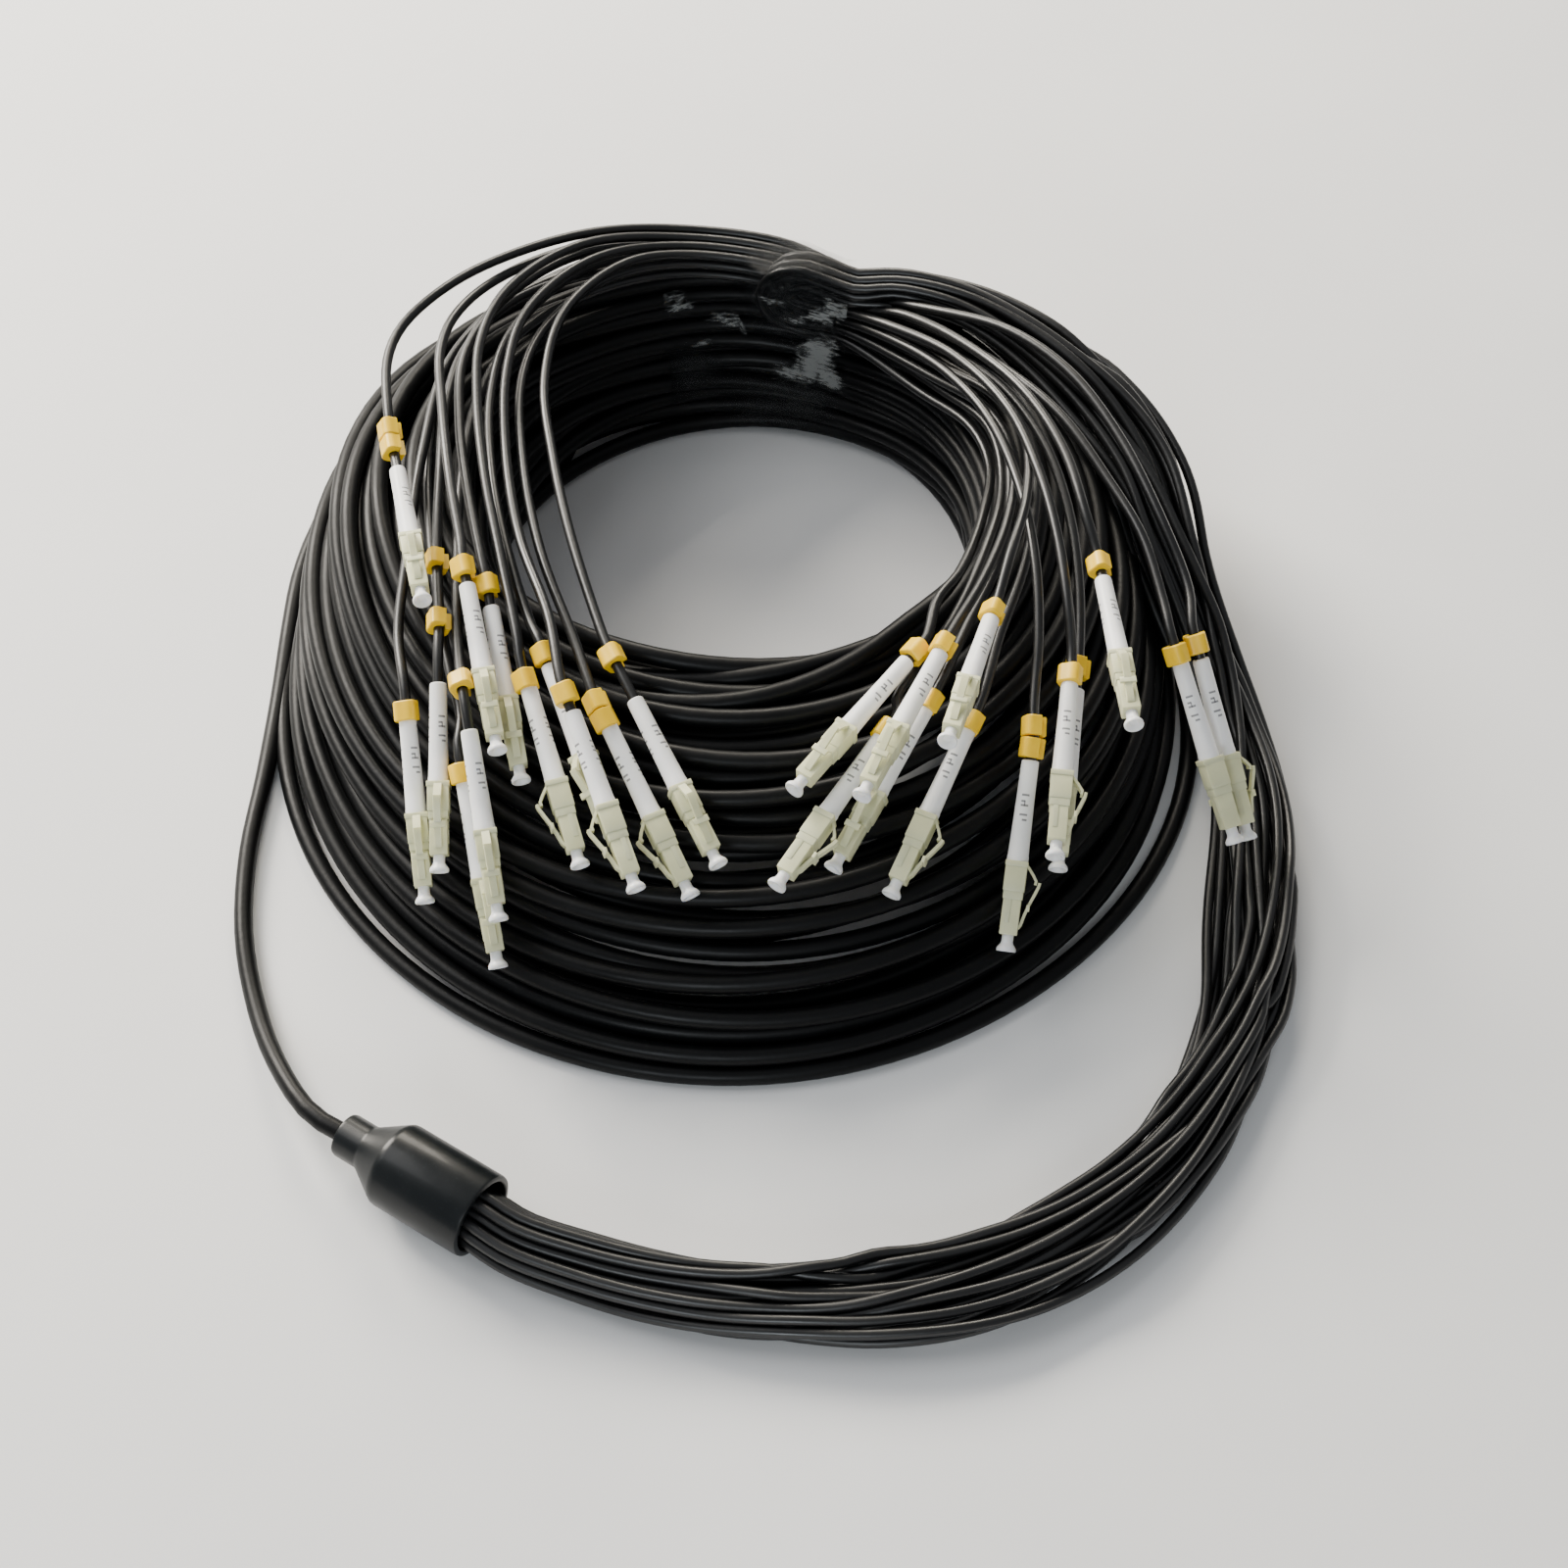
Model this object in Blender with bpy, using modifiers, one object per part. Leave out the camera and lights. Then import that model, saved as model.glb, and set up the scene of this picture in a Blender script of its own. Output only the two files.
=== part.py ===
"""A fibre breakout cable: a loose coil tied at the back, its lead, the breakout and twenty-four tails with plugs."""

import math

import bmesh
import bpy
from mathutils import Matrix, Vector

NAME = "fibre_breakout_cable"
MM = 0.001

# Cable, tails and the gap kept between touching pieces
CABLE_DIAMETER = 5.5 * MM
TAIL_DIAMETER = 3.0 * MM
GAP = 0.3 * MM
CORD_SEGMENTS = 2
CABLE_POINT_SPACING = 2.0
TAIL_POINT_SPACING = 3.0

# Coil: a crater shape, its rim near the middle and its turns spread down to the floor in front
HOLE_CENTRE = (-15 * MM, 75 * MM)
HOLE_RADIUS = 69.5 * MM
RIM_RADIUS_FRONT = 76 * MM
RIM_RADIUS_BACK = 84 * MM
RIM_HEIGHT_FRONT = 63 * MM
RIM_HEIGHT_BACK = 55 * MM
REACH_SIDE = 128 * MM
REACH_FRONT = 183 * MM
REACH_BACK = 108 * MM
SLOPE_BULGE_SIDE = 3.0
SLOPE_BULGE_BACK = 1.15
SLOPE_FALL = 0.75
WALL_LEAN = 0.6
COIL_SEGMENTS = 40
WALL_TURNS = 6
SLOPE_TURNS = 13
SLOPE_SPREAD = 1.25
GROOVE_DEPTH = 1.6 * MM

# Tape round the back of the coil, and the tails that it holds there
TAPE_THICKNESS = 0.4 * MM
TAPE_FIRST_SEGMENT = 7
TAPE_LAST_SEGMENT = 11
TAPE_LOOP_POINTS = 32
TAPE_GAP = 0.5 * MM
LEFT_SLOT_RADII = (84 * MM, 88 * MM, 92 * MM, 96 * MM)
LEFT_SLOT_HEIGHTS = (66 * MM, 62 * MM, 58 * MM)
RIGHT_SLOT_RADII = (71.5 * MM, 75.1 * MM, 78.7 * MM)
RIGHT_SLOT_HEIGHTS = (48 * MM, 52 * MM, 56 * MM, 60 * MM)
LEFT_EXIT_ANGLE = 101
RIGHT_START_ANGLE = 84
RIGHT_EXIT_ANGLE = 62

# Breakout: a turned boot, from the collar on the cable to the open end with the tails
BREAKOUT_START = (-117.5 * MM, -128 * MM)
BREAKOUT_HEADING = -33.4
COLLAR_RADIUS = 6.2 * MM
COLLAR_LENGTH = 8 * MM
TAPER_LENGTH = 9 * MM
BODY_RADIUS = 12 * MM
BODY_LENGTH = 29 * MM
BODY_EDGE = 1.2 * MM
BREAKOUT_SIDES = 20

# Bundle of all the tails, from the breakout round the right side and up to the tape
BUNDLE_LOBES = 12
LOBE_DEPTH = 0.9 * MM
BUNDLE_EXIT_RADIUS = 8.5 * MM
BUNDLE_TIE_RADIUS = 90 * MM
BUNDLE_TIE_HEIGHT = 62 * MM
BUNDLE_TIE_SIZE = (9.0 * MM, 6.0 * MM)
BUNDLE_TIE_ANGLES = (63, 72, 81, 90, 99, 100.4)

# Marker ring, boot, plug body, latch and dust cap, all along the plug's own +X from the ring
RING_RADIUS = 3.6 * MM
RING_LENGTH = 4.4 * MM
RING_OPENING = 2.4 * MM
BOOT_LENGTH = 28 * MM
BOOT_TOP_RADIUS = 2.4 * MM
BOOT_END_RADIUS = 2.9 * MM
PLUG_REAR_LENGTH = 8.5 * MM
PLUG_REAR_WIDTH = 6.0 * MM
PLUG_NOSE_LENGTH = 12 * MM
PLUG_NOSE_WIDTH = 5.0 * MM
LATCH_WIDTH = 2.4 * MM
LATCH_THICKNESS = 0.9 * MM
LATCH_RISE = 4.0 * MM
LATCH_PEAK_SETBACK = 2.2 * MM
TRIGGER_SETBACK = 1.0 * MM
CAP_NECK_RADIUS = 1.6 * MM
CAP_NECK_LENGTH = 2.6 * MM
CAP_END_RADIUS = 2.7 * MM
CAP_END_LENGTH = 2.0 * MM
PLUG_OVERLAP = 0.5 * MM
ROUND_SIDES = 8

# Route of the lead, in millimetres, from the coil's left side to the breakout's collar
LEAD_ROUTE = [
    (-151.6, 58, 4), (-152.2, 30, 3.2), (-153.5, 0, 3), (-155.3, -28, 3), (-153.5, -56, 3),
    (-147, -82, 3.6), (-138.5, -103, 7.5),
]

# Route of the bundle, in millimetres: x, y, z, half its width and half its height
BUNDLE_ROUTE = [
    (-70, -159, 10.6, 9, 8), (-52, -165, 8.6, 9.8, 7), (-34, -170, 7.2, 10.4, 6.6), (-15, -174, 6.8, 10.6, 6.4),
    (6, -176, 6.6, 11, 6.2), (26, -175.5, 6.5, 11, 6.2), (52, -169.5, 6.5, 11, 6.2), (78, -155.5, 6.5, 11, 6.2),
    (100, -136.5, 6.5, 11, 6.2), (118, -110, 6.5, 11, 6.2), (129, -81, 6.5, 11, 6.2), (134, -46, 6.5, 11, 6.2),
    (135.5, -12, 6.6, 10.5, 6.2), (131.5, 15, 9.5, 9.5, 6.2), (125.5, 38, 18.5, 9, 6.2), (118, 60, 33, 8.8, 6.2),
    (110.5, 85, 44, 8.8, 6.2), (96, 107, 52.5, 8.8, 6.2), (79, 126, 58.5, 8.8, 6.2), (59, 142.5, 61.5, 9, 6),
    (40, 152.5, 62, 9, 6),
]

# Each tail: slot at the tape (column, row), route over the coil, start of its boot, end of its dust cap, latch turn.
# The two ends of a plug are x, y and how far they lie over the coil's skin or the floor.
LEFT_TAILS = [
    ((3, 0), [(-62, 158, 74), (-90, 140, 78), (-105, 124, 80), (-114, 110, 80), (-117, 96, 80), (-115, 74, 79)],
     (-111, 54, 19.5), (-100, 3, 24), 0),
    ((2, 2), [(-62, 157, 60.5), (-86, 138, 63.5), (-101, 110, 66), (-106, 74, 66), (-108, 38, 63), (-109, 8, 59)],
     (-105, -18, 8.5), (-99, -64, 9.5), 0),
    ((1, 2), [(-60, 153, 62), (-84, 134, 67), (-96, 112, 69), (-100, 88, 70), (-100, 60, 69), (-99, 32, 68),
              (-96.5, 5, 67)],
     (-96, -13, 10), (-94.5, -60, 12), 0),
    ((3, 1), [(-64, 158, 68.5), (-88, 137, 74), (-99, 118, 77), (-102, 102, 78), (-100, 80, 78), (-95.5, 49, 78),
              (-91, 26, 77)],
     (-88.5, 12, 15), (-78, -38, 16), 0),
    ((2, 1), [(-62, 153.5, 70), (-84, 130, 74), (-95, 104, 75), (-95, 77, 74), (-91, 50, 74), (-85.5, 24, 73.5)],
     (-82, 8, 9.5), (-72, -41, 6), 0),
    ((3, 2), [(-64, 160, 58.8), (-90, 137, 59.5), (-103, 108, 61.3), (-105, 80, 61.8), (-103, 50, 62),
              (-99, 22, 62), (-94, -4, 60), (-89.5, -22, 57.5)],
     (-88, -39, 8.5), (-78, -83, 11), 0),
    ((0, 2), [(-57, 146, 62), (-80, 124, 65), (-91, 97, 65), (-94, 66, 66), (-93, 26, 67), (-90, -9, 67.5)],
     (-86, -32, 16.5), (-77, -78, 19.5), 0),
    ((2, 0), [(-62, 151, 76), (-83, 127, 80), (-90, 105, 80), (-90, 84, 78), (-86, 53, 76), (-80, 24, 74),
              (-73.5, -6, 71)],
     (-70.3, -18.5, 9), (-55, -66, 9.5), 90),
    ((1, 1), [(-60, 149.5, 68), (-82, 118, 71), (-87, 92, 70), (-85, 62, 70), (-79, 31, 70), (-70, 1, 69)],
     (-65, -11, 7.5), (-46, -59, 7), 45),
    ((1, 0), [(-58, 147, 74), (-77, 121, 77), (-82, 97, 76), (-81, 67, 74), (-75, 31, 74.5), (-65, -1, 76)],
     (-57.5, -31.5, 16.5), (-39.5, -77.5, 20.5), 90),
    ((0, 1), [(-53, 147.5, 66), (-72, 121, 70), (-78, 97, 71), (-76, 64, 71), (-69, 28, 71), (-58, -4, 69)],
     (-48, -30, 7), (-25, -74, 7.5), 90),
    ((0, 0), [(-49, 148, 71), (-66, 124, 74), (-71, 95, 73), (-67, 63, 73), (-61, 34, 73), (-53, 6, 71),
              (-49, -6, 70)],
     (-41, -22.5, 6.5), (-17.5, -67.5, 8.5), 0),
]

RIGHT_TAILS = [
    ((0, 0), [(42, 113, 50), (56, 95, 54), (61, 75, 57), (58, 53, 60), (50, 25, 66), (43, 12, 68.5)],
     (34, -10.5, 8.5), (4, -51, 15), 0),
    ((1, 0), [(47, 111, 54), (61, 89, 60), (64, 63, 62), (58, 36, 64), (46.5, 6, 65), (37, -9, 63.8),
              (31, -19.5, 63.4)],
     (26.5, -33, 7.5), (-1, -75, 17.5), -90),
    ((2, 0), [(50, 113, 58.5), (64, 86, 63.5), (66, 60, 65), (61, 28, 67), (51, 3, 67)],
     (39, -23, 7), (13, -67, 7.5), 0),
    ((0, 1), [(44, 111, 59.6), (61, 88, 67), (67, 64, 71), (64, 40, 72), (56, 16, 73)],
     (43, -11, 14), (21, -58, 25.5), 0),
    ((1, 1), [(47, 110, 64), (62, 90, 72), (70, 66, 77), (69, 42, 79), (63, 18, 80)],
     (57, -3, 20), (43, -53, 44.5), 0),
    ((2, 1), [(50, 112, 62), (68, 88, 67), (73, 59, 68), (69, 29, 67), (60, 1, 64.5)],
     (51, -26, 6.5), (29, -71, 8), -90),
    ((0, 2), [(34, 121, 64), (48, 101, 71), (60, 77, 75), (68, 47, 75.5), (71, 20, 73), (71, 0, 67), (69, -22, 59)],
     (68, -33, 10.5), (61, -76, 10), -90),
    ((0, 3), [(33, 123, 68), (50, 104, 75), (65, 77, 80), (73, 49, 81), (77, 26, 79), (79, 6, 74)],
     (79, -15, 19.5), (73, -66, 40), -90),
    ((1, 3), [(37, 127, 69), (54, 105, 78), (70, 79, 84), (80, 54, 85), (85, 32, 82)],
     (89, 13, 28), (94, -40, 62), 0),
    ((2, 2), [(45.5, 121.8, 67.8), (66, 97, 75), (81, 76, 77), (93, 54, 74), (102, 34, 71), (107, 13, 66)],
     (111, -3, 45.5), (127, -42, 26), 180),
    ((2, 3), [(46, 127, 71), (67, 110, 79), (84, 90, 81), (97, 67, 78), (107, 43, 72), (115, 21, 63)],
     (117.5, 1.5, 55.5), (131.8, -37, 20.5), -90),
    ((1, 2), [(46, 116, 66.3), (64, 95.5, 71), (76, 71, 71), (82, 47, 68), (84, 22, 63)],
     (82, -8, 7.5), (75.5, -57, 15), 0),
]


def clear_scene():
    for item in list(bpy.data.objects):
        bpy.data.objects.remove(item, do_unlink=True)


def material(name, colour, roughness, metallic=0.0):
    finish = bpy.data.materials.new(name)
    finish.use_nodes = True
    shader = finish.node_tree.nodes["Principled BSDF"]
    shader.inputs["Base Color"].default_value = (*colour, 1.0)
    shader.inputs["Roughness"].default_value = roughness
    shader.inputs["Metallic"].default_value = metallic
    finish.diffuse_color = (*colour, 1.0)
    return finish


def add_object(name, data, collection, finish):
    item = bpy.data.objects.new(name, data)
    collection.objects.link(item)
    data.materials.clear()
    data.materials.append(finish)
    return item


def mesh_from(build, name):
    mesh = bpy.data.meshes.new(name)
    shape = bmesh.new()
    build(shape)
    bmesh.ops.recalc_face_normals(shape, faces=shape.faces)
    shape.to_mesh(mesh)
    shape.free()
    return mesh


def loft(shape, sections, closed):
    """Skins a row of like sections, round in a ring where closed is set and capped at both ends otherwise."""
    rings = [[shape.verts.new(point) for point in section] for section in sections]
    count = len(rings)
    steps = count if closed else count - 1
    for index in range(steps):
        first, second = rings[index], rings[(index + 1) % count]
        for corner in range(len(first)):
            after = (corner + 1) % len(first)
            shape.faces.new((first[corner], first[after], second[after], second[corner]))
    if not closed:
        shape.faces.new(rings[0])
        shape.faces.new(rings[-1])


def around_hole(angle, radius, height):
    """The place at this angle, in degrees, and radius about the middle of the coil's hole."""
    turn = math.radians(angle)
    return Vector((HOLE_CENTRE[0] + radius * math.cos(turn), HOLE_CENTRE[1] + radius * math.sin(turn), height))


def coil_reach(turn):
    side = math.sin(turn)
    middle = (REACH_FRONT + REACH_BACK) / 2
    return REACH_SIDE - (REACH_FRONT - REACH_BACK) / 2 * side + (middle - REACH_SIDE) * side * side


def rim_height(turn):
    middle = (RIM_HEIGHT_FRONT + RIM_HEIGHT_BACK) / 2
    return middle - (RIM_HEIGHT_FRONT - RIM_HEIGHT_BACK) / 2 * math.sin(turn)


def rim_radius(turn):
    middle = (RIM_RADIUS_FRONT + RIM_RADIUS_BACK) / 2
    return middle - (RIM_RADIUS_FRONT - RIM_RADIUS_BACK) / 2 * math.sin(turn)


def coil_envelope(turn, share):
    """Radius and height on the coil's skin at this angle: share runs 0 to 1 up the wall, then 1 to 2 down the slope."""
    height, rim = rim_height(turn), rim_radius(turn)
    if share <= 1:
        return HOLE_RADIUS + (rim - HOLE_RADIUS) * share ** (1 / WALL_LEAN), height * share
    down = share - 1
    bulge = SLOPE_BULGE_SIDE + SLOPE_BULGE_BACK * math.sin(turn)
    radius = rim + (coil_reach(turn) - rim) * down
    return radius, height * max(0.0, 1 - down ** bulge) ** SLOPE_FALL


def over_skin(x, y, lift):
    """The place at x and y, all in millimetres, that lies this far over the coil's skin, or over the floor off it."""
    place = Vector((x, y, lift)) * MM
    out = place.xy - Vector(HOLE_CENTRE)
    turn = math.atan2(out.y, out.x)
    radius, rim = out.length, rim_radius(turn)
    skin = 0.0
    if radius > rim:
        share = min(2.0, 1 + (radius - rim) / (coil_reach(turn) - rim))
        skin = coil_envelope(turn, share)[1]
    elif radius > HOLE_RADIUS:
        skin = coil_envelope(turn, ((radius - HOLE_RADIUS) / (rim - HOLE_RADIUS)) ** WALL_LEAN)[1]
    place.z += skin
    return place


def groove_shares(turns, start, flat):
    """Skin shares for a row of turns: at each turn its crest, and a groove before it."""
    places = []
    for turn in range(turns):
        for part, sunk in ((0.0, True), (0.5, False)):
            share = (turn + part) / turns
            eased = 1 - (1 - share) ** flat
            places.append((start + eased, sunk))
    return places


def coil_section(segment):
    """The coil's outline at one segment, in the order wall, rim, slope, with its flat underside closing it."""
    turn = 2 * math.pi * segment / COIL_SEGMENTS
    taped = TAPE_FIRST_SEGMENT <= segment <= TAPE_LAST_SEGMENT
    lowest = TAPE_THICKNESS + TAPE_GAP if taped else 0.0
    outline = []
    places = groove_shares(WALL_TURNS, 0, 1) + groove_shares(SLOPE_TURNS, 1, SLOPE_SPREAD) + [(2, False)]
    for index, (share, sunk) in enumerate(places):
        radius, height = coil_envelope(turn, share)
        if sunk and index:
            before = coil_envelope(turn, share - 0.01)
            after = coil_envelope(turn, share + 0.01)
            along = Vector((after[0] - before[0], after[1] - before[1])).normalized()
            radius += along.y * GROOVE_DEPTH
            height -= along.x * GROOVE_DEPTH
        outline.append((radius, max(height, lowest)))
    return outline


def build_coil(collection, finish):
    def build(shape):
        sections = []
        for segment in range(COIL_SEGMENTS):
            angle = 360 * segment / COIL_SEGMENTS
            sections.append([around_hole(angle, radius, height) for radius, height in coil_section(segment)])
        loft(shape, sections, closed=True)

    return add_object("cable_coil", mesh_from(build, "cable_coil"), collection, finish)


def smooth_route(points, spacing):
    """Evenly spaced points on a smooth curve through the given ones."""
    ends = [2 * points[0] - points[1], *points, 2 * points[-1] - points[-2]]
    steps = 12
    fine = []
    for index in range(1, len(ends) - 2):
        before, start, end, after = ends[index - 1 : index + 3]
        for step in range(steps):
            fine.append(route_point(before, start, end, after, step / steps))
    fine.append(points[-1])
    length = sum((b - a).length for a, b in zip(fine, fine[1:]))
    count = max(2, round(length / spacing))
    placed = [fine[0]]
    walked = 0.0
    for a, b in zip(fine, fine[1:]):
        reach = (b - a).length
        while len(placed) < count and walked + reach >= len(placed) * length / count:
            placed.append(a.lerp(b, (len(placed) * length / count - walked) / reach))
        walked += reach
    placed.append(fine[-1])
    return placed


def route_point(before, start, end, after, share):
    """A point on a smooth curve from start to end that also heeds the points on either side."""
    first = math.sqrt((start - before).length)
    middle = math.sqrt((end - start).length)
    last = math.sqrt((after - end).length)
    leave = (end - start) + middle * ((start - before) / first - (end - before) / (first + middle))
    arrive = (end - start) + middle * ((after - end) / last - (after - start) / (middle + last))
    square, cube = share * share, share * share * share
    return (
        start * (2 * cube - 3 * square + 1) + leave * (cube - 2 * square + share)
        + end * (3 * square - 2 * cube) + arrive * (cube - square)
    )


def millimetres(points):
    return [Vector(point) * MM for point in points]


def cord(name, points, diameter, spacing, collection, finish):
    """A round cord as a poly curve through evenly spaced points, with closed ends."""
    data = bpy.data.curves.new(name, "CURVE")
    data.dimensions = "3D"
    data.bevel_depth = diameter / 2
    data.bevel_resolution = CORD_SEGMENTS
    data.use_fill_caps = True
    spline = data.splines.new("POLY")
    placed = smooth_route(points, diameter * spacing)
    spline.points.add(len(placed) - 1)
    for place, point in zip(spline.points, placed):
        place.co = (*point, 1.0)
    spline.use_smooth = True
    return add_object(name, data, collection, finish)


def breakout_axis():
    heading = math.radians(BREAKOUT_HEADING)
    return Vector((math.cos(heading), math.sin(heading), 0.0))


def breakout_length():
    return COLLAR_LENGTH + TAPER_LENGTH + BODY_LENGTH


def breakout_end():
    return Vector((*BREAKOUT_START, BODY_RADIUS)) + breakout_axis() * breakout_length()


def build_breakout(collection, finish):
    """The boot as a turned shape: its profile runs down the outer side, from the collar to the open end."""
    length = breakout_length()
    shoulder = length - COLLAR_LENGTH
    body_top = BODY_LENGTH
    profile = [
        (0.0, length), (COLLAR_RADIUS, length), (COLLAR_RADIUS, shoulder), (BODY_RADIUS - BODY_EDGE / 2, body_top),
        (BODY_RADIUS, body_top - BODY_EDGE), (BODY_RADIUS, BODY_EDGE), (BODY_RADIUS - BODY_EDGE, 0.0), (0.0, 0.0),
    ]

    def build(shape):
        corners = [shape.verts.new((radius, 0.0, height)) for radius, height in profile]
        for first, second in zip(corners, corners[1:]):
            shape.edges.new((first, second))

    mesh = mesh_from(build, "breakout_boot")
    item = add_object("breakout_boot", mesh, collection, finish)
    turn = item.modifiers.new("turned", "SCREW")
    turn.steps = BREAKOUT_SIDES
    turn.render_steps = BREAKOUT_SIDES
    turn.use_merge_vertices = True
    turn.merge_threshold = 0.00005
    heading = (-breakout_axis()).to_track_quat("Z", "Y").to_matrix().to_4x4()
    item.matrix_world = Matrix.Translation(breakout_end()) @ heading
    return item


def build_lead(collection, finish):
    """The cable from the coil's side to the breakout, which it enters square to the collar."""
    start = Vector((*BREAKOUT_START, BODY_RADIUS))
    end = start - breakout_axis() * GAP
    points = millimetres(LEAD_ROUTE) + [end - breakout_axis() * CABLE_DIAMETER * CABLE_POINT_SPACING, end]
    return cord("lead_cable", points, CABLE_DIAMETER, CABLE_POINT_SPACING, collection, finish)


def bundle_stations():
    """Centre, half width and half height of the bundle along its way."""
    end = breakout_end()
    stations = [(end + breakout_axis() * GAP, BUNDLE_EXIT_RADIUS, BUNDLE_EXIT_RADIUS)]
    for x, y, z, wide, high in BUNDLE_ROUTE:
        stations.append((Vector((x, y, z)) * MM, wide * MM, high * MM))
    for angle in BUNDLE_TIE_ANGLES:
        centre = around_hole(angle, BUNDLE_TIE_RADIUS, BUNDLE_TIE_HEIGHT)
        stations.append((centre, *BUNDLE_TIE_SIZE))
    return stations


def bundle_section(centre, ahead, wide, high):
    """One lobed section, square to the bundle's way, with two points to a lobe."""
    across = Vector((ahead.y, -ahead.x, 0.0)).normalized()
    upward = across.cross(ahead).normalized()
    outline = []
    for index in range(2 * BUNDLE_LOBES):
        turn = math.pi * index / BUNDLE_LOBES
        depth = LOBE_DEPTH if index % 2 else 0.0
        outline.append(centre + across * (wide - depth) * math.cos(turn) + upward * (high - depth) * math.sin(turn))
    return outline


def build_bundle(collection, finish):
    stations = bundle_stations()

    def build(shape):
        sections = []
        for index, (centre, wide, high) in enumerate(stations):
            before = stations[max(index - 1, 0)][0]
            after = stations[min(index + 1, len(stations) - 1)][0]
            ahead = breakout_axis() if index == 0 else (after - before).normalized()
            sections.append(bundle_section(centre, ahead, wide, high))
        loft(shape, sections, closed=False)

    return add_object("tail_bundle", mesh_from(build, "tail_bundle"), collection, finish)


def tie_outline(segment):
    """Every point, as radius and height, that the tape goes round at one segment."""
    points = list(coil_section(segment))
    wide, high = BUNDLE_TIE_SIZE
    corners = [(RIGHT_SLOT_RADII[0], RIGHT_SLOT_HEIGHTS[0]), (RIGHT_SLOT_RADII[0], RIGHT_SLOT_HEIGHTS[-1])]
    for turn in range(24):
        angle = 2 * math.pi * turn / 24
        radius, height = math.cos(angle), math.sin(angle)
        points.append((BUNDLE_TIE_RADIUS + wide * radius, BUNDLE_TIE_HEIGHT + high * height))
        for corner in corners:
            points.append((corner[0] + TAIL_DIAMETER / 2 * radius, corner[1] + TAIL_DIAMETER / 2 * height))
    return points


def tape_loop(segment, outset):
    """The taut loop round everything at one segment, this far off it: its corners are where straight runs meet."""
    points = tie_outline(segment)
    step = 2 * math.pi / TAPE_LOOP_POINTS
    reaches = []
    for index in range(TAPE_LOOP_POINTS):
        side, up = math.cos(index * step), math.sin(index * step)
        reaches.append(outset + max(point[0] * side + point[1] * up for point in points))
    loop = []
    for index, reach in enumerate(reaches):
        after = reaches[(index + 1) % TAPE_LOOP_POINTS]
        sideways = (after - reach * math.cos(step)) / math.sin(step)
        side, up = math.cos(index * step), math.sin(index * step)
        loop.append((reach * side - sideways * up, reach * up + sideways * side))
    return loop


def build_tape(collection, finish):
    def build(shape):
        inner, outer = [], []
        for segment in range(TAPE_FIRST_SEGMENT, TAPE_LAST_SEGMENT + 1):
            angle = 360 * segment / COIL_SEGMENTS
            for rows, outset in ((inner, TAPE_GAP), (outer, TAPE_GAP + TAPE_THICKNESS)):
                loop = tape_loop(segment, outset)
                rows.append([shape.verts.new(around_hole(angle, radius, height)) for radius, height in loop])
        for rows in (inner, outer):
            for first, second in zip(rows, rows[1:]):
                ring_of_faces(shape, first, second)
        ring_of_faces(shape, inner[0], outer[0])
        ring_of_faces(shape, inner[-1], outer[-1])

    return add_object("tape_wrap", mesh_from(build, "tape_wrap"), collection, finish)


def ring_of_faces(shape, first, second):
    for corner in range(len(first)):
        after = (corner + 1) % len(first)
        shape.faces.new((first[corner], first[after], second[after], second[corner]))


def rod(start, length, first_radius, last_radius, sides=ROUND_SIDES):
    """A round piece along +X from start."""
    bpy.ops.mesh.primitive_cone_add(
        vertices=sides, radius1=first_radius, radius2=last_radius, depth=length,
        location=(start + length / 2, 0, 0), rotation=(0, math.pi / 2, 0),
    )
    return bpy.context.object


def block(start, length, width, height, centre_z=0.0, tilt=0.0):
    """A box along +X from start, turned about its middle by tilt degrees."""
    bpy.ops.mesh.primitive_cube_add(size=1, location=(start + length / 2, 0, centre_z))
    item = bpy.context.object
    item.rotation_euler = (0, math.radians(tilt), 0)
    item.scale = (length, width, height)
    bpy.ops.object.transform_apply(location=False, rotation=False, scale=True)
    return item


def combine(target, other, operation, cutters):
    """Joins or cuts with a Boolean and keeps the other shape as a guide."""
    change = target.modifiers.new(operation.lower(), "BOOLEAN")
    change.operation = operation
    change.object = other
    change.solver = "EXACT"
    for owner in list(other.users_collection):
        owner.objects.unlink(other)
    cutters.objects.link(other)
    other.hide_render = True
    other.display_type = "WIRE"


def plug_length():
    return BOOT_LENGTH + PLUG_REAR_LENGTH + PLUG_NOSE_LENGTH + CAP_NECK_LENGTH + CAP_END_LENGTH


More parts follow.
